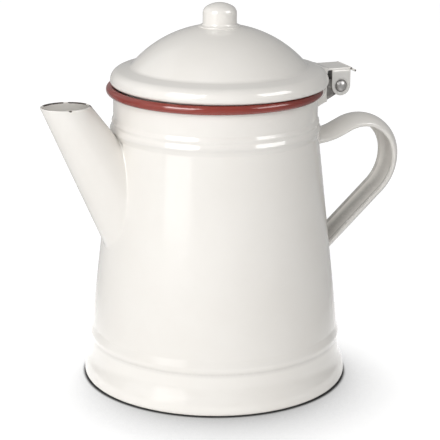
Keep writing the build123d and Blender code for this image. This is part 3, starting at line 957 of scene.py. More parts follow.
@dataclass
class Spout(Part):
    """Slanted cone with a level mouth, saddled to the wall with a run of enamel round its root.

    Rings crowd towards the lip. The lip's chips are given by their angle round it and how far the enamel is worn
    there. The crotch's painted shade fades over a height and over a distance from the wall.
    """

    pot: Pot
    reach: float = 81.7
    lip_drop: float = 6.35
    tilt: float = 30.6
    lip_radius: float = 11.1
    half_angle: float = 6.9
    sheet: float = 1.0
    fillet: float = 1.3
    columns: int = 160
    crowd: float = 1.5
    root_sink: float = 0.12
    crotch_rise: float = 3.0
    crotch_shade: float = 0.4
    crotch_fade: tuple[float, float] = (5.0, 1.6)
    chip_depth: float = 0.9
    chip_angle: tuple[float, ...] = (
        0, 12, 20, 64, 68, 75, 79, 140, 147, 200, 267, 270, 274, 277, 338, 343, 352, 356, 360
    )
    chip_wear: tuple[float, ...] = (
        0.35, 0.5, 0.85, 0.85, 0.1, 0.1, 0.85, 0.85, 0.3, 0.2, 0.2, 0.85, 0.85, 0.2, 0.25, 0.8, 0.8, 0.3, 0.35
    )

    def __post_init__(self) -> None:
        """Works out the spout's axis."""
        lean = math.radians(self.tilt)
        self.mouth = np.array([-self.reach, 0.0, self.pot.rim_top_z - self.lip_drop])
        self.along = np.array([math.sin(lean), 0.0, -math.cos(lean)])
        self.up = np.array([math.cos(lean), 0.0, math.sin(lean)])
        self.grow = math.tan(math.radians(self.half_angle))
        self.angle = once_round(self.columns)[0]

    def at(self, depth: Array, inset: float = 0.0) -> Array:
        """Points of the cone: the mouth's middle, plus the depth along the axis, plus the radius at that depth
        times the cosine and sine of the angle round the axis.

        Args:
            depth: Distance from the mouth along the axis, with one column for each angle.
            inset: How much smaller the radius is.

        Returns:
            The points.
        """
        radius = self.lip_radius - inset + self.grow * depth
        side = np.stack([np.zeros_like(self.angle), np.sin(self.angle), np.zeros_like(self.angle)], -1)
        out = np.cos(self.angle)[:, None] * self.up + side
        return self.mouth + depth[..., None] * self.along + radius[..., None] * out

    def lip_depth(self, inset: float = 0.0) -> Array:
        """Depth at which the cone reaches the level of the mouth, for each angle round it."""
        rise = np.cos(self.angle) * math.tan(math.radians(self.tilt))
        return (self.lip_radius - inset) * rise / (1 - self.grow * rise)

    def root_depth(self, inset: float = 0.0) -> Array:
        """Depth at which the cone meets the pot's wall, for each angle, found by halving a bracket."""
        low, high = np.full(self.columns, 5.0), np.full(self.columns, 110.0)
        for _ in range(40):
            middle = (low + high) / 2
            point = self.at(middle, inset)
            outside = np.hypot(point[:, 0], point[:, 1]) > self.pot.seat_radius_at(point[:, 2])
            low, high = np.where(outside, middle, low), np.where(outside, high, middle)
        return low

    def rows(self, start: Array, end: Array, inset: float, count: int) -> Array:
        """Rings of the cone between two depths, closer together at the first one.

        Args:
            start: First depth, for each angle.
            end: Last depth, for each angle.
            inset: How much smaller the radius is.
            count: How many rings there are.

        Returns:
            The rings' points.
        """
        share = np.linspace(0, 1, count)[:, None] ** self.crowd
        return self.at(start + share * (end - start), inset)

    def build(self) -> bpy.types.Object:
        """The spout, from the run of enamel on the wall up the outside, over the lip and down the inside."""
        half = self.sheet / 2
        lip, lip_in = self.lip_depth() + half, self.lip_depth(self.sheet) + half
        root, root_in = self.root_depth(), self.root_depth(self.sheet)
        joint = self.at(root)
        wide = self.at(self.root_depth(-self.fillet), -self.fillet)
        from_axis = np.hypot(wide[:, 0], wide[:, 1])[:, None]
        wide = wide - self.root_sink * wide * np.array([1, 1, 0]) / from_axis
        start = self.at(root - self.fillet)
        share = np.linspace(0, 1, 10)[:, None, None]
        run = (1 - share) ** 2 * wide + 2 * share * (1 - share) * joint + share**2 * start
        outer = self.rows(lip, root - self.fillet, 0.0, 70)[::-1][1:]
        inner = self.rows(lip_in, root_in + 0.1, self.sheet, 60)
        middle = (outer[-1] + inner[0]) / 2
        side = (outer[-1] - inner[0]) / 2
        phase = np.linspace(0, math.pi, 9)[1:-1, None, None]
        over = middle + np.cos(phase) * side - np.sin(phase) * half * self.along
        grid = np.concatenate([run, outer, over, inner])
        below = grid[..., 2].max() - grid[..., 2]
        worn = np.interp(np.degrees(self.angle), self.chip_angle, self.chip_wear)[None, :]
        bare = np.clip(1.4 - below / self.chip_depth, 0, 1) * worn
        # Painted shade in the crotch where the spout meets the wall.
        off_wall = np.hypot(grid[..., 0], grid[..., 1]) - self.pot.seat_radius_at(grid[..., 2])
        fade_up, fade_out = self.crotch_fade
        crotch = (grid[..., 2] - self.pot.cone_top_z - self.crotch_rise) / fade_up
        grime = self.crotch_shade * np.exp(-(crotch**2) - (np.maximum(off_wall, 0) / fade_out) ** 2)
        surface = Surface.from_grid(grid, True, True, bare=bare, grime=grime).facing_out()
        return self.dress(surface, "spout_cone", "spout", Body.POT, Slot.WHITE)


@dataclass
class Handle(Part):
    """Crowned strap with curled edges, bent over the top and down to the wall, welded at both ends.

    The trough's painted shade lies beside the curls, at a share of the half width, and grows as the strap's heading
    turns down from one angle through another.
    """

    pot: Pot
    drop: float = 6.5
    half_width: float = 9.3
    crown: float = 3.9
    curl: float = 1.3
    sheet: float = 1.0
    rise_radius: float = 35.5
    rise_angle: float = 24.7
    rise_run: float = 5.5
    top_radius: float = 19.4
    back_angle: float = -84.0
    back_radius: float = 24.6
    leg_angle: float = -136.8
    weld: float = 3.2
    weld_width: float = 1.1
    root_sink: float = 0.45
    trough_side: float = 0.7
    trough_spread: float = 0.5
    trough_shade: float = 0.5
    trough_heading: float = 60.0
    trough_turn: float = 76.0

    def path(self) -> tuple[Array, Array]:
        """Line of the strap's edges in X and Z, and its heading in degrees at each point."""
        start = np.array([self.pot.cone_top_radius, self.pot.cone_top_z - self.drop])
        rise, at_rise = turn(start, 0.0, self.rise_radius, self.rise_angle, 24)
        run = rise[-1] + unit(at_rise) * self.rise_run
        top, at_top = turn(run, at_rise, self.top_radius, self.back_angle - self.rise_angle, 60)
        back, at_back = turn(top[-1], at_top, self.back_radius, self.leg_angle - self.back_angle, 36)
        leg_step = unit(at_back)
        leg_length = (back[-1][0] - self.pot.cone_top_radius) / -leg_step[0]
        leg = back[-1] + leg_step * leg_length
        line = spaced(np.concatenate([[start], rise, [run], top, back, [leg]]), 1.2)
        along = np.gradient(line, axis=0)
        return line, np.degrees(np.unwrap(np.arctan2(along[:, 1], along[:, 0])))

    def section(self) -> tuple[Array, Array]:
        """Outline of the strap across its width and outwards, and the outline's own outward normals."""
        radius = (self.half_width**2 + self.crown**2) / (2 * self.crown)
        low = self.crown - radius
        half = math.degrees(math.asin(self.half_width / radius))
        outer = arc((0.0, low), radius, 90 - half, 90 + half, 28)
        centre = unit(90 + half) * (radius - self.curl) + [0.0, low]
        left = arc(tuple(centre), self.curl, 90 + half, 90 + half + 225, 16)
        inner_half = half - math.degrees(2.3 * self.curl / radius)
        inner = arc((0.0, low), radius - self.sheet, 90 + inner_half, 90 - inner_half, 24)
        right = left[::-1] * [-1, 1]
        loop = np.concatenate([outer[:-1], left, inner, right[:-1]])
        along = np.roll(loop, -1, axis=0) - np.roll(loop, 1, axis=0)
        along /= np.linalg.norm(along, axis=1, keepdims=True)
        return loop, np.stack([along[:, 1], -along[:, 0]], -1)

    def carried(self, centre: Array, heading: Array, section: Array) -> Array:
        """The section carried to points of the path: across goes along Y, outwards stands left of the heading.

        Args:
            centre: Points of the path in X and Z.
            heading: The path's heading at them, in degrees.
            section: Points of the section.

        Returns:
            One ring of points for each point of the path.
        """
        angle = np.radians(heading)
        normal = np.stack([-np.sin(angle), np.zeros_like(angle), np.cos(angle)], -1)
        place = np.stack([centre[:, 0], np.zeros(len(centre)), centre[:, 1]], -1)
        across = section[..., :1] * np.array([0.0, 1.0, 0.0])
        return place[:, None] + across + section[..., 1:] * normal[:, None]

    def wall_gap(self, points: Array) -> Array:
        """How far points stand out from the pot's wall."""
        return np.hypot(points[..., 0], points[..., 1]) - self.pot.radius_at(points[..., 2])

    def build(self) -> bpy.types.Object:
        """The strap, its two ends let into the wall and spread there by the weld."""
        line, heading = self.path()
        section, normal = self.section()
        plain = self.carried(line, heading, np.broadcast_to(section, (len(line), *section.shape)))
        gap = self.wall_gap(plain)
        flare = self.weld_width * np.clip(1 - gap / self.weld, 0, 1.2) ** 2
        grown = section[None] + flare[..., None] * normal[None]
        rings = self.carried(line, heading, grown)
        inside = self.wall_gap(rings)
        push = np.clip(-self.root_sink - inside, 0, None)[..., None]
        radial = rings * np.array([1, 1, 0])
        rings = rings + push * radial / np.linalg.norm(radial, axis=-1, keepdims=True)
        caps = [np.broadcast_to(rings[k].mean(0), rings[k].shape)[None] for k in (0, -1)]
        grid = np.concatenate([caps[0], rings, caps[1]])
        # Painted shade in the strap's trough, growing down its leg.
        off_curl = (np.abs(section[:, 0]) / self.half_width - self.trough_side) / self.trough_spread
        hollow = np.exp(-(off_curl**2)) * (normal[:, 1] < -0.3)
        down = np.clip((-heading - self.trough_heading) / self.trough_turn, 0, 1)
        down = np.concatenate([down[:1], down, down[-1:]])
        grime = self.trough_shade * down[:, None] * hollow[None, :]
        surface = Surface.from_grid(grid, False, True, grime=grime).facing_out()
        return self.dress(surface, "handle_strap", "handle", Body.POT, Slot.WHITE)


@dataclass
class Lid(Part):
    """Skirt, brim and dome in one sheet, with a collar below and a hollow knob on top."""

    pot: Pot
    offset: float = 2.05
    inset: float = 0.2
    rest_gap: float = 0.3
    sheet: float = 1.0
    tuck: float = 1.8
    skirt: float = 2.0
    shoulder: float = 5.8
    brim_slope: float = 14.0
    dome_foot: float = 45.32
    dome_radius: float = 60.3
    crease: float = 4.0
    collar_depth: float = 7.5
    collar_play: float = 1.2
    collar_lead: float = 0.8
    lead_height: float = 3.0
    knob_radius: float = 8.8
    knob_side: float = 4.6
    knob_edge: float = 4.2
    knob_crown: float = 13.0
    knob_foot: float = 1.6
    dome_columns: int = 224
    collar_columns: int = 192
    knob_columns: int = 128
    edge_wear: float = 0.42

    def __post_init__(self) -> None:
        """Works out the lid's place and its outer line."""
        self.z = self.pot.rim_top_z + self.rest_gap
        self.radius = self.pot.rim_radius + self.pot.rim_roll - self.inset
        self.line = self.outer_line()

    def outer_line(self) -> Array:
        """Outer line in radius and height, from the tucked edge over skirt, brim and dome to the axis."""
        start = np.array([self.radius - self.tuck, self.z])
        angle = 2 * math.degrees(math.atan(self.tuck / self.skirt))
        skirt, heading = turn(start, 90.0 - angle, self.skirt / math.sin(math.radians(angle)), angle, 16)
        shoulder, heading = turn(skirt[-1], heading, self.shoulder, 90 - self.brim_slope)
        dome_angle = math.degrees(math.asin(self.dome_foot / self.dome_radius))
        slope = math.radians(self.brim_slope)
        crease_reach = self.crease * (self.dome_foot / self.dome_radius - math.sin(slope))
        length = (shoulder[-1][0] - self.dome_foot - crease_reach) / math.cos(slope)
        brim = shoulder[-1] + length * np.array([-math.cos(slope), math.sin(slope)])
        crease, heading = turn(brim, heading, self.crease, self.brim_slope - dome_angle)
        dome, heading = turn(crease[-1], heading, self.dome_radius, dome_angle, 60)
        return spaced(np.concatenate([[start], skirt, shoulder, [brim], crease, dome]), 1.6)

    def build_shell(self) -> bpy.types.Object:
        """The lid's sheet."""
        loop = sheet_loop(self.line, self.sheet, close_end=False)
        bare = self.edge_wear * np.clip(1 - (loop[:, 1] - self.z + 0.5) / 0.7, 0, 1)
        surface = revolved(loop, self.dome_columns, self.offset, wave=0.03, seed=11, bare=bare)
        return self.dress(surface, "lid_dome", "lid_shell", Body.LID, Slot.WHITE)

    def build_collar(self) -> bpy.types.Object:
        """The ring that drops into the neck."""
        radius = self.pot.neck_radius - self.pot.sheet - self.offset - self.collar_play
        low = self.z - self.collar_depth
        high = float(np.interp(-radius, -self.line[:, 0], self.line[:, 1])) - self.sheet
        corners = [(radius - self.collar_lead, low), (radius, low + self.lead_height), (radius, high)]
        loop = sheet_loop(spaced(filleted(corners, [2.0]), 1.2), self.sheet, close_end=False)
        surface = revolved(loop, self.collar_columns, self.offset, wave=0.02, seed=13)
        return self.dress(surface, "lid_ring", "lid_collar", Body.LID, Slot.WHITE)

    def build_knob(self) -> bpy.types.Object:
        """The knob: a flared foot on the dome, a straight side, a rounded edge and a crown."""
        foot = self.knob_radius + self.knob_foot
        sag = self.dome_radius - math.sqrt(self.dome_radius**2 - foot**2)
        start = np.array([foot, self.line[-1, 1] - sag + self.sheet / 2])
        flare, heading = turn(start, 180.0, self.knob_foot, -90.0)
        side = flare[-1] + [0.0, self.knob_side]
        share = (self.knob_radius - self.knob_edge) / (self.knob_crown - self.knob_edge)
        edge_angle = math.degrees(math.acos(share))
        edge, heading = turn(side, 90.0, self.knob_edge, edge_angle)
        crown, heading = turn(edge[-1], heading, self.knob_crown, 90 - edge_angle)
        line = spaced(np.concatenate([[start], flare, [side], edge, crown]), 0.5)
        loop = sheet_loop(line, self.sheet, close_end=False)
        surface = revolved(loop, self.knob_columns, self.offset, wave=0.02, seed=17)
        return self.dress(surface, "lid_cap", "lid_knob", Body.LID, Slot.WHITE)

    def build(self) -> None:
        """Builds the sheet, the collar and the knob."""
        self.build_shell()
        self.build_collar()
        self.build_knob()


@dataclass
class Hinge(Part):
    """Bracket on the neck, leaf on the lid and the rivet through both.

    The two sheet pieces are worked out as fields on a block of space, because their enamel runs over every fold and
    edge and fills the corners towards the neck and the lid.
    """

    pot: Pot
    lid: Lid
    sheet: float = 1.1
    standoff: float = 7.9
    rim_play: float = 1.9
    pin_drop: float = 4.0
    pin_radius: float = 1.75
    pin_play: float = 0.05
    leaf_width: float = 17.0
    leaf_fold: float = 2.6
    leaf_ear: float = 5.3
    roof_height: float = 9.7
    tail_length: float = 3.8
    tail_angle: float = 28.0
    saddle_half: float = 9.2
    bracket_ear: float = 3.2
    bracket_slope: float = 27.6
    ear_play: float = 0.3
    dish_radius: float = 3.8
    dish_depth: float = 0.4
    head_radius: float = 3.1
    head_height: float = 1.7
    step: float = 0.2
    bracket_step: float = 0.23
    enamel_run: float = 3.2
    skin: float = 0.08
    sink: float = 0.75
    root_inner: float = 40.0
    roof_start: float = 50.0
    web_inner: float = 48.0
    leaf_block: tuple[tuple[float, ...], tuple[float, ...]] = ((44.0, -18.0, 146.0), (79.0, 18.0, 167.0))
    bracket_block: tuple[tuple[float, ...], tuple[float, ...]] = ((44.0, -20.0, 134.0), (72.4, 20.0, 158.4))
    rivet_columns: int = 72

    def __post_init__(self) -> None:
        """Works out the saddle and the pin's place."""
        self.saddle = self.pot.rim_radius + self.pot.rim_roll + self.rim_play + self.sheet
        self.pin_x = self.saddle + self.standoff
        self.pin_z = self.pot.rim_top_z - self.pin_drop
        self.roof_z = self.pin_z + self.roof_height

    def band(self, radius: Array, y: Array, z: Array, inner: float, low: float, high: float) -> Array:
        """Field of a curved plate round the pot's axis, from an inner radius to the saddle's face."""
        flat = np.maximum(slab(radius, inner, self.saddle), slab(z, low, high))
        return extruded(flat, y, self.saddle_half, rounding=0.45)

    def pin_field(self, x: Array, z: Array, radius: float) -> Array:
        """Field of a rod along the pin's axis."""
        return np.hypot(x - self.pin_x, z - self.pin_z) - radius

    def seated(self, sheet: Array, carrier: Array) -> Array:
        """Field of a sheet whose enamel runs on to its carrier's skin, cut off a little below that skin."""
        run_on = blended(sheet, carrier + self.skin, reach=self.enamel_run)
        return np.maximum(run_on, -(carrier + self.sink))

    def bored(self, sheet: Array, x: Array, z: Array) -> Array:
        """Field of a sheet with the pin's hole in it."""
        return common(sheet, -self.pin_field(x, z, self.pin_radius + self.pin_play), reach=0.2)

    def along_tail(self, x: Array, z: Array) -> tuple[Array, Array]:
        """Distance ahead of the tail's bend along the tail, and distance over its upper face."""
        lean = math.radians(self.tail_angle)
        on, up = x - (self.pin_x + self.leaf_ear), z - self.roof_z
        return on * math.cos(lean) - up * math.sin(lean), on * math.sin(lean) + up * math.cos(lean)

    def build_leaf(self) -> bpy.types.Object:
        """The leaf: a root on the lid's skirt, a roof and two ears folded from one strip, and a bent thumb tail."""
        block = Block(*self.leaf_block, self.step)
        x, y, z = block.axes()
        half = self.leaf_width / 2
        under_roof = self.roof_z - self.sheet
        flat_roof = np.maximum(slab(x, self.roof_start, self.pin_x + self.leaf_ear), slab(z, under_roof, self.roof_z))
        roof = extruded(flat_roof, y, half, rounding=0.35)
        outer = rounded_corner(np.abs(y) - half, z - self.roof_z, rounding=self.leaf_fold)
        inner = rounded_corner(np.abs(y) - (half - self.sheet), z - under_roof, rounding=self.leaf_fold - self.sheet)
        channel = common(outer, -inner, reach=0.4)
        square = np.maximum(np.abs(x - self.pin_x) - self.leaf_ear, -(z - self.pin_z))
        ears = common(channel, np.minimum(self.pin_field(x, z, self.leaf_ear), square), reach=0.5)
        root = self.band(np.hypot(x, y), y, z, self.root_inner, self.lid.z + 0.05, self.roof_z)
        ahead, over = self.along_tail(x, z)
        flat_tail = np.maximum(slab(ahead, 0.0, self.tail_length), slab(over, -self.sheet, 0.0))
        leaf = blended(np.minimum(roof, ears), root, reach=1.6)
        leaf = blended(leaf, extruded(flat_tail, y, half, rounding=0.3), reach=0.8)
        leaf = self.seated(leaf, block.about(self.lid.offset).revolved_field(self.lid_outline()))
        leaf = np.maximum(leaf, self.lid.z + 0.03 - z - 200.0 * (x > self.saddle + 0.6))
        leaf = self.bored(np.maximum(leaf, np.maximum(np.abs(y) - 17.0, 45.5 - x)), x, z)
        dish = np.maximum(self.pin_field(x, z, self.dish_radius), half - self.dish_depth - np.abs(y))
        leaf = common(leaf, -dish, reach=0.3)
        surface = block.skinned(leaf)
        points = surface.points
        # Painted shade in the crevices between the ears and round the rivet's head.
        surface.values["grime"] = self.crevice(points)
        ahead, _ = self.along_tail(points[:, 0], points[:, 2])
        on_tail = np.clip((points[:, 2] - self.roof_z + 3.5) / 0.5, 0, 1)
        # Painted shade: the ears and root below the roof are greyed.
        surface.values["thin"] = 0.85 * np.clip((self.roof_z - 0.8 - points[:, 2]) / 2.0, 0, 1)
        tip = np.clip((ahead - self.tail_length + 1.3) / 0.8, 0, 1)
        bend = np.clip(1.2 - np.hypot((ahead - 0.5) / 0.9, (points[:, 1] + half) / 1.3), 0, 1)
        bend = bend * (points[:, 2] > self.roof_z - 1.1)
        surface.values["bare"] = 0.85 * np.maximum(tip, bend) * on_tail
        return self.dress(surface, "hinge_leaf", "lid_hinge_leaf", Body.LID, Slot.WHITE)

    def lid_outline(self) -> Array:
        """The lid's outer shape near its skirt, in radius and height."""
        outer = self.lid.line[self.lid.line[:, 0] > 30]
        return np.concatenate([[[20.0, self.lid.z]], outer, [[20.0, outer[-1, 1]]]])

    def edge_z(self, reach: Array) -> Array:
        """Height of the bracket's lower edge at a distance from the pot's axis."""
        slope = math.radians(self.bracket_slope)
        return self.pin_z - self.bracket_ear / math.cos(slope) - (self.pin_x - reach) * math.tan(slope)

    def ear_outline(self) -> Array:
        """Outline of the bracket's ear in X and Z: round at the pin, with straight edges back to the apron."""
        heel = self.saddle - self.sheet
        top, low = self.pot.rim_top_z - 0.3, float(self.edge_z(heel))
        corners = []
        for z, side in ((top, 1.0), (low, -1.0)):
            away = math.hypot(self.pin_x - heel, self.pin_z - z)
            bearing = math.atan2(z - self.pin_z, heel - self.pin_x)
            corners.append(math.degrees(bearing) - side * math.degrees(math.acos(self.bracket_ear / away)))
        first, last = corners[1] % 360, corners[0] % 360
        around = arc((self.pin_x, self.pin_z), self.bracket_ear, first - 360, last, 32)
        return np.concatenate([[[heel - 1, top], [heel - 1, low], [heel, low]], around, [[heel, top]]])

    def build_bracket(self) -> bpy.types.Object:
        """The bracket: a web out under the rim, an apron in front of it and two ears, run on to the neck."""
        block = Block(*self.bracket_block, self.bracket_step)
        x, y, z = block.axes()
        radius = np.hypot(x, y)
        low = self.edge_z(radius)
        lean = math.cos(math.radians(self.bracket_slope))
        top = self.pot.rim_top_z
        apron = self.band(radius, y, z, self.saddle - self.sheet, float(self.edge_z(self.saddle)), top)
        apron = common(apron, (low - z) * lean, reach=0.4)
        ends = np.maximum(radius - self.saddle, self.web_inner - radius)
        sheet_web = np.maximum(np.maximum(low - z, z - low - self.sheet / lean), ends)
        web = extruded(sheet_web, y, self.saddle_half, rounding=0.4)
        flat = polygon_field(self.ear_outline(), *np.meshgrid(x.ravel(), z.ravel(), indexing="ij"))
        ear_y = self.leaf_width / 2 - self.sheet - self.ear_play - self.sheet / 2
        ears = extruded(flat[:, None, :], np.abs(y) - ear_y, self.sheet / 2, rounding=0.35)
        wedge = np.maximum(np.maximum(low - z, z - top), ends)
        cheeks = extruded(wedge, np.abs(y) - self.saddle_half + self.sheet / 2, self.sheet / 2, rounding=0.4)
        bracket = np.minimum(blended(apron, web, reach=1.2), cheeks)
        bracket = self.seated(blended(bracket, ears, reach=1.0), block.revolved_field(self.pot.envelope()))
        bracket = np.maximum(np.maximum(bracket, np.abs(y) - 19.0), np.maximum(135.0 - z, 45.0 - x))
        bracket = self.bored(np.maximum(bracket, z - top), x, z)
        surface = block.skinned(bracket)
        # Painted shade in the crevices between the ears and round the rivet's head.
        surface.values["grime"] = self.crevice(surface.points)
        return self.dress(surface, "hinge_bracket", "body_hinge_bracket", Body.POT, Slot.WHITE)

    def crevice(self, points: Array) -> Array:
        """Painted shade from 0 to 1 between the ears and behind them, and in the ring round the rivet's head.

        Args:
            points: Points of the leaf or the bracket.

        Returns:
            The painted shade at each point.
        """
        x, y, z = points.T
        depth = self.leaf_width / 2 - np.abs(y)
        between = np.clip((x - self.saddle + 0.2) / 0.4, 0, 1) * np.clip((depth - 0.55) / 0.5, 0, 1)
        between = between * np.clip((self.roof_z - 0.8 - z) / 0.4, 0, 1)
        between = between * np.clip((z - self.pin_z + 12.0) / 7.0, 0.15, 1)
        from_pin = np.hypot(x - self.pin_x, z - self.pin_z)
        ring = np.clip(1 - np.abs(from_pin - self.head_radius - 0.1) / 0.35, 0, 1) * (depth < 1.3)
        return np.maximum(0.85 * between, 0.95 * ring)

    def build_rivet(self) -> bpy.types.Object:
        """The rivet: a shank along Y with a domed head at each end, its radius carried round the pin's axis."""
        seat = self.leaf_width / 2 - self.dish_depth + 0.15
        ball = (self.head_radius**2 + self.head_height**2) / (2 * self.head_height)
        span = math.degrees(math.asin(self.head_radius / ball))
        cap = arc((0.0, seat + self.head_height - ball), ball, 90 - span, 90, 20)
        under = np.array([[self.pin_radius, seat], [self.head_radius - 0.15, seat], [self.head_radius, seat + 0.1]])
        half = np.concatenate([[[self.pin_radius, 0.0]], under, cap[1:]])
        half = spaced(half, 0.5)
        line = np.concatenate([half[::-1] * [1, -1], half[1:]])
        angle = once_round(self.rivet_columns)
        radius, along = line[:, :1], line[:, 1:]
        grid = grid_of(self.pin_x + radius * np.cos(angle), along, self.pin_z + radius * np.sin(angle))
        # Painted shade round the rim of the head, where it sits in the leaf's dish.
        grime = np.clip((radius - 2.35) / 0.75, 0, 1) ** 2
        surface = Surface.from_grid(grid, False, True, grime=grime).facing_out()
        return self.dress(surface, "hinge_pin", "hinge_rivet", Body.POT, Slot.RIVET)

    def build(self) -> None:
        """Builds the bracket, the leaf and the rivet."""
        self.build_bracket()
        self.build_leaf()
        self.build_rivet()


# The studio round the pot.


@dataclass
class Softbox:
    """A plain rectangular lamp that looks at the pot, in metres and watts. It lights, or is reflected, or both."""

    name: str
    azimuth: float
    elevation: float
    distance: float
    width: float
    height: float
    power: float
    lights: bool = True
    reflected: bool = True
    target_z: float = 0.09

    def build(self) -> bpy.types.Object:
        """Makes the lamp."""
        light = bpy.data.lights.new(self.name, "AREA")
        light.shape = "RECTANGLE"
        light.size, light.size_y = self.width, self.height
        light.energy = self.power
        lamp = bpy.data.objects.new(self.name, light)
        bpy.context.scene.collection.objects.link(lamp)
        lamp.visible_camera = False
        lamp.visible_diffuse = self.lights
        lamp.visible_glossy = self.reflected
        aim(lamp, self.azimuth, self.elevation, self.distance, self.target_z)
        return lamp


def aim(thing: bpy.types.Object, azimuth: float, elevation: float, distance: float, target_z: float) -> None:
    """Puts a camera or lamp at a bearing from the pot and turns it to look at a point on the pot's axis.

    Args:
        thing: The camera or lamp.
        azimuth: Bearing in degrees. 0 stands on the -Y side, and 90 on the +X side.
        elevation: Height above the horizon, in degrees.
        distance: Distance in metres.
        target_z: Height of the point looked at, in metres.
    """
    a, e = math.radians(azimuth), math.radians(elevation)
    back = np.array([math.sin(a) * math.cos(e), -math.cos(a) * math.cos(e), math.sin(e)])
    thing.location = back * distance + np.array([0.0, 0.0, target_z])
    thing.rotation_euler = (math.pi / 2 - e, 0.0, a)


LAMPS = (
    Softbox("key_left", -58.7, 14.0, 1.1, 0.55, 0.75, 2.3),
    Softbox("wall_left", -80.0, 25.0, 1.6, 1.4, 1.4, 4.5),
    Softbox("front", -25.0, 30.0, 1.8, 1.4, 1.2, 14.2, reflected=False),
    Softbox("back_left", -135.0, 35.0, 1.6, 1.4, 1.2, 2.2),
    Softbox("top_left", -70.0, 55.0, 1.5, 1.2, 1.2, 0.67),
    Softbox("fill_right", 44.8, 24.0, 1.2, 0.8, 0.7, 0.41, reflected=False),
    Softbox("window_left", -58.7, 37.0, 1.1, 0.62, 0.55, 11.0, lights=False),
    Softbox("window_right", 44.8, 36.0, 1.2, 0.7, 0.52, 8.0, lights=False),
)


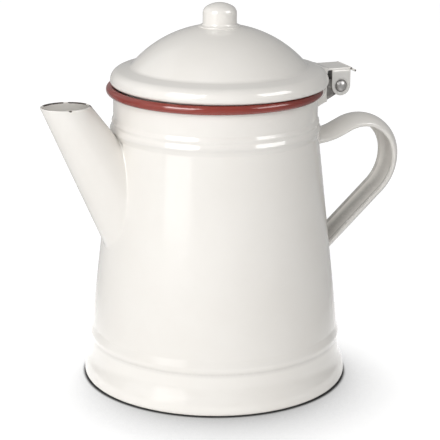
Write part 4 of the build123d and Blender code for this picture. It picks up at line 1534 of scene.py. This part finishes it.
@dataclass
class Studio:
    """Pale floor, white surroundings, soft lamps and the camera, in metres but for the floor's height."""

    camera_azimuth: float = -20.6
    camera_elevation: float = 16.39
    camera_roll: float = 0.32
    camera_distance: float = 0.856
    camera_target: float = 0.083
    lens: float = 131.73
    shift_x: float = 0.01155
    shift_y: float = 0.00084
    floor_radius: float = 3.0
    floor_z: float = -0.02
    fill: float = 0.37
    floor_tone: float = 0.30
    floor_glow: float = 0.88
    shade_lean: tuple[float, float, float] = (0.1, 0.6, 0.8)
    shade_reach: float = 0.11
    shade_start: float = 0.27
    shade_steepness: float = 1.6
    contact_reach: float = 0.0025

    def build_world(self) -> None:
        """White all round for the camera and for transmission, and a softer fill for the rest, reflections included.
        """
        world = bpy.data.worlds.new("studio_white")
        world.use_nodes = True
        tree = world.node_tree
        background = tree.nodes["Background"]
        background.inputs["Color"].default_value = (1.0, 1.0, 1.0, 1.0)
        path = tree.nodes.new("ShaderNodeLightPath")
        seen = tree.nodes.new("ShaderNodeMath")
        seen.operation = "MAXIMUM"
        tree.links.new(path.outputs["Is Camera Ray"], seen.inputs[0])
        tree.links.new(path.outputs["Is Transmission Ray"], seen.inputs[1])
        strength = tree.nodes.new("ShaderNodeMapRange")
        tree.links.new(seen.outputs["Value"], strength.inputs["Value"])
        strength.inputs["To Min"].default_value = self.fill
        strength.inputs["To Max"].default_value = 1.0
        tree.links.new(strength.outputs["Result"], background.inputs["Strength"])
        bpy.context.scene.world = world

    def build_floor(self) -> bpy.types.Object:
        """A round pale floor: rings from its middle outwards.

        Through Light Path the camera sees it partly lit by the lamps and partly by a white glow of its own. Where the
        floor is shut in under and beside the pot, the camera's floor colour darkens and the glow fades: a painted
        contact shadow, longer in front of the pot than at its sides. Reflections near the pot see the same glow.

        Returns:
            The floor.
        """
        radius = self.floor_radius / MM * np.linspace(0, 1, 24)[:, None] ** 2
        angle = once_round(96)
        grid = grid_of(radius * np.cos(angle), radius * np.sin(angle), self.floor_z)
        surface = Surface.from_grid(grid, False, True)
        floor = surface.piece("floor")
        shader = Shader("floor_white")
        shader.shader.inputs["Roughness"].default_value = 1.0
        shader.shader.inputs["Specular IOR Level"].default_value = 0.0
        path = shader.add("ShaderNodeLightPath")
        # Painted contact shadow: the camera's floor colour darkens and the glow fades where the pot shuts the floor
        # in.
        contact = shader.range(self.openness(shader, self.contact_reach), 0.5, 0.95)
        under = shader.mix(contact, (0.05, 0.05, 0.05), (self.floor_tone,) * 3)
        tone = shader.mix(path.outputs["Is Camera Ray"], (0.9, 0.9, 0.9), under)
        shader.link(tone, shader.shader.inputs["Base Color"])
        beside = shader.math("SUBTRACT", self.openness(shader, self.shade_reach, self.shade_lean), self.shade_start)
        beside = shader.math("MULTIPLY", beside, self.shade_steepness)
        beside = shader.math("MAXIMUM", shader.math("MINIMUM", beside, self.floor_glow), 0.0)
        reach = shader.add("ShaderNodeVectorMath", operation="LENGTH")
        shader.link(shader.place, reach.inputs[0])
        near = shader.range(reach.outputs["Value"], 0.1, 0.22, 1.0, 0.0)
        mirrored = shader.math("MULTIPLY", path.outputs["Is Glossy Ray"], near)
        seen = shader.math("MAXIMUM", path.outputs["Is Camera Ray"], mirrored)
        glow = shader.math("MULTIPLY", seen, shader.math("MULTIPLY", beside, contact))
        shader.link(glow, shader.shader.inputs["Emission Strength"])
        shader.shader.inputs["Emission Color"].default_value = (1.0, 1.0, 1.0, 1.0)
        floor.data.materials.append(shader.material)
        return floor

    def openness(self, shader: Shader, reach: float,
                 lean: tuple[float, float, float] = (0.0, 0.0, 1.0)) -> bpy.types.NodeSocket:
        """Share of the directions about a lean in which nothing stands within a reach of a point of the floor.

        Args:
            shader: The floor's nodes.
            reach: The reach in metres.
            lean: Middle of the directions. It leans backwards, so that the painted shadow reaches further in front of
                the pot than at its sides.

        Returns:
            The share, from 0 to 1.
        """
        shut_in = shader.add("ShaderNodeAmbientOcclusion", samples=16)
        shut_in.inputs["Distance"].default_value = reach
        middle = shader.add("ShaderNodeCombineXYZ")
        for socket, value in zip(middle.inputs, lean):
            socket.default_value = value
        shader.link(middle.outputs["Vector"], shut_in.inputs["Normal"])
        return shut_in.outputs["AO"]

    def build_camera(self) -> bpy.types.Object:
        """The camera at the photograph's viewing angle."""
        data = bpy.data.cameras.new("camera")
        data.lens = self.lens
        data.sensor_width = 36.0
        data.shift_x = self.shift_x
        data.shift_y = self.shift_y
        data.clip_start = 0.01
        camera = bpy.data.objects.new("camera", data)
        bpy.context.scene.collection.objects.link(camera)
        aim(camera, self.camera_azimuth, self.camera_elevation, self.camera_distance, self.camera_target)
        camera.rotation_euler.rotate_axis("Z", math.radians(self.camera_roll))
        bpy.context.scene.camera = camera
        return camera

    def build(self) -> None:
        """Builds the studio."""
        self.build_world()
        self.build_floor()
        self.build_camera()
        for lamp in LAMPS:
            lamp.build()
        bpy.context.scene.view_settings.view_transform = "Standard"


def main() -> None:
    """Builds the studio, the pot, its spout, handle, lid and hinge."""
    logging.basicConfig(level=logging.INFO, format="%(name)s: %(message)s")
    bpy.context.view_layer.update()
    Studio().build()
    finishes = Finishes()
    pot = Pot(finishes)
    pot.build()
    Spout(finishes, pot).build()
    Handle(finishes, pot).build()
    lid = Lid(finishes, pot)
    lid.build()
    Hinge(finishes, pot, lid).build()


if __name__ == "__main__":
    main()
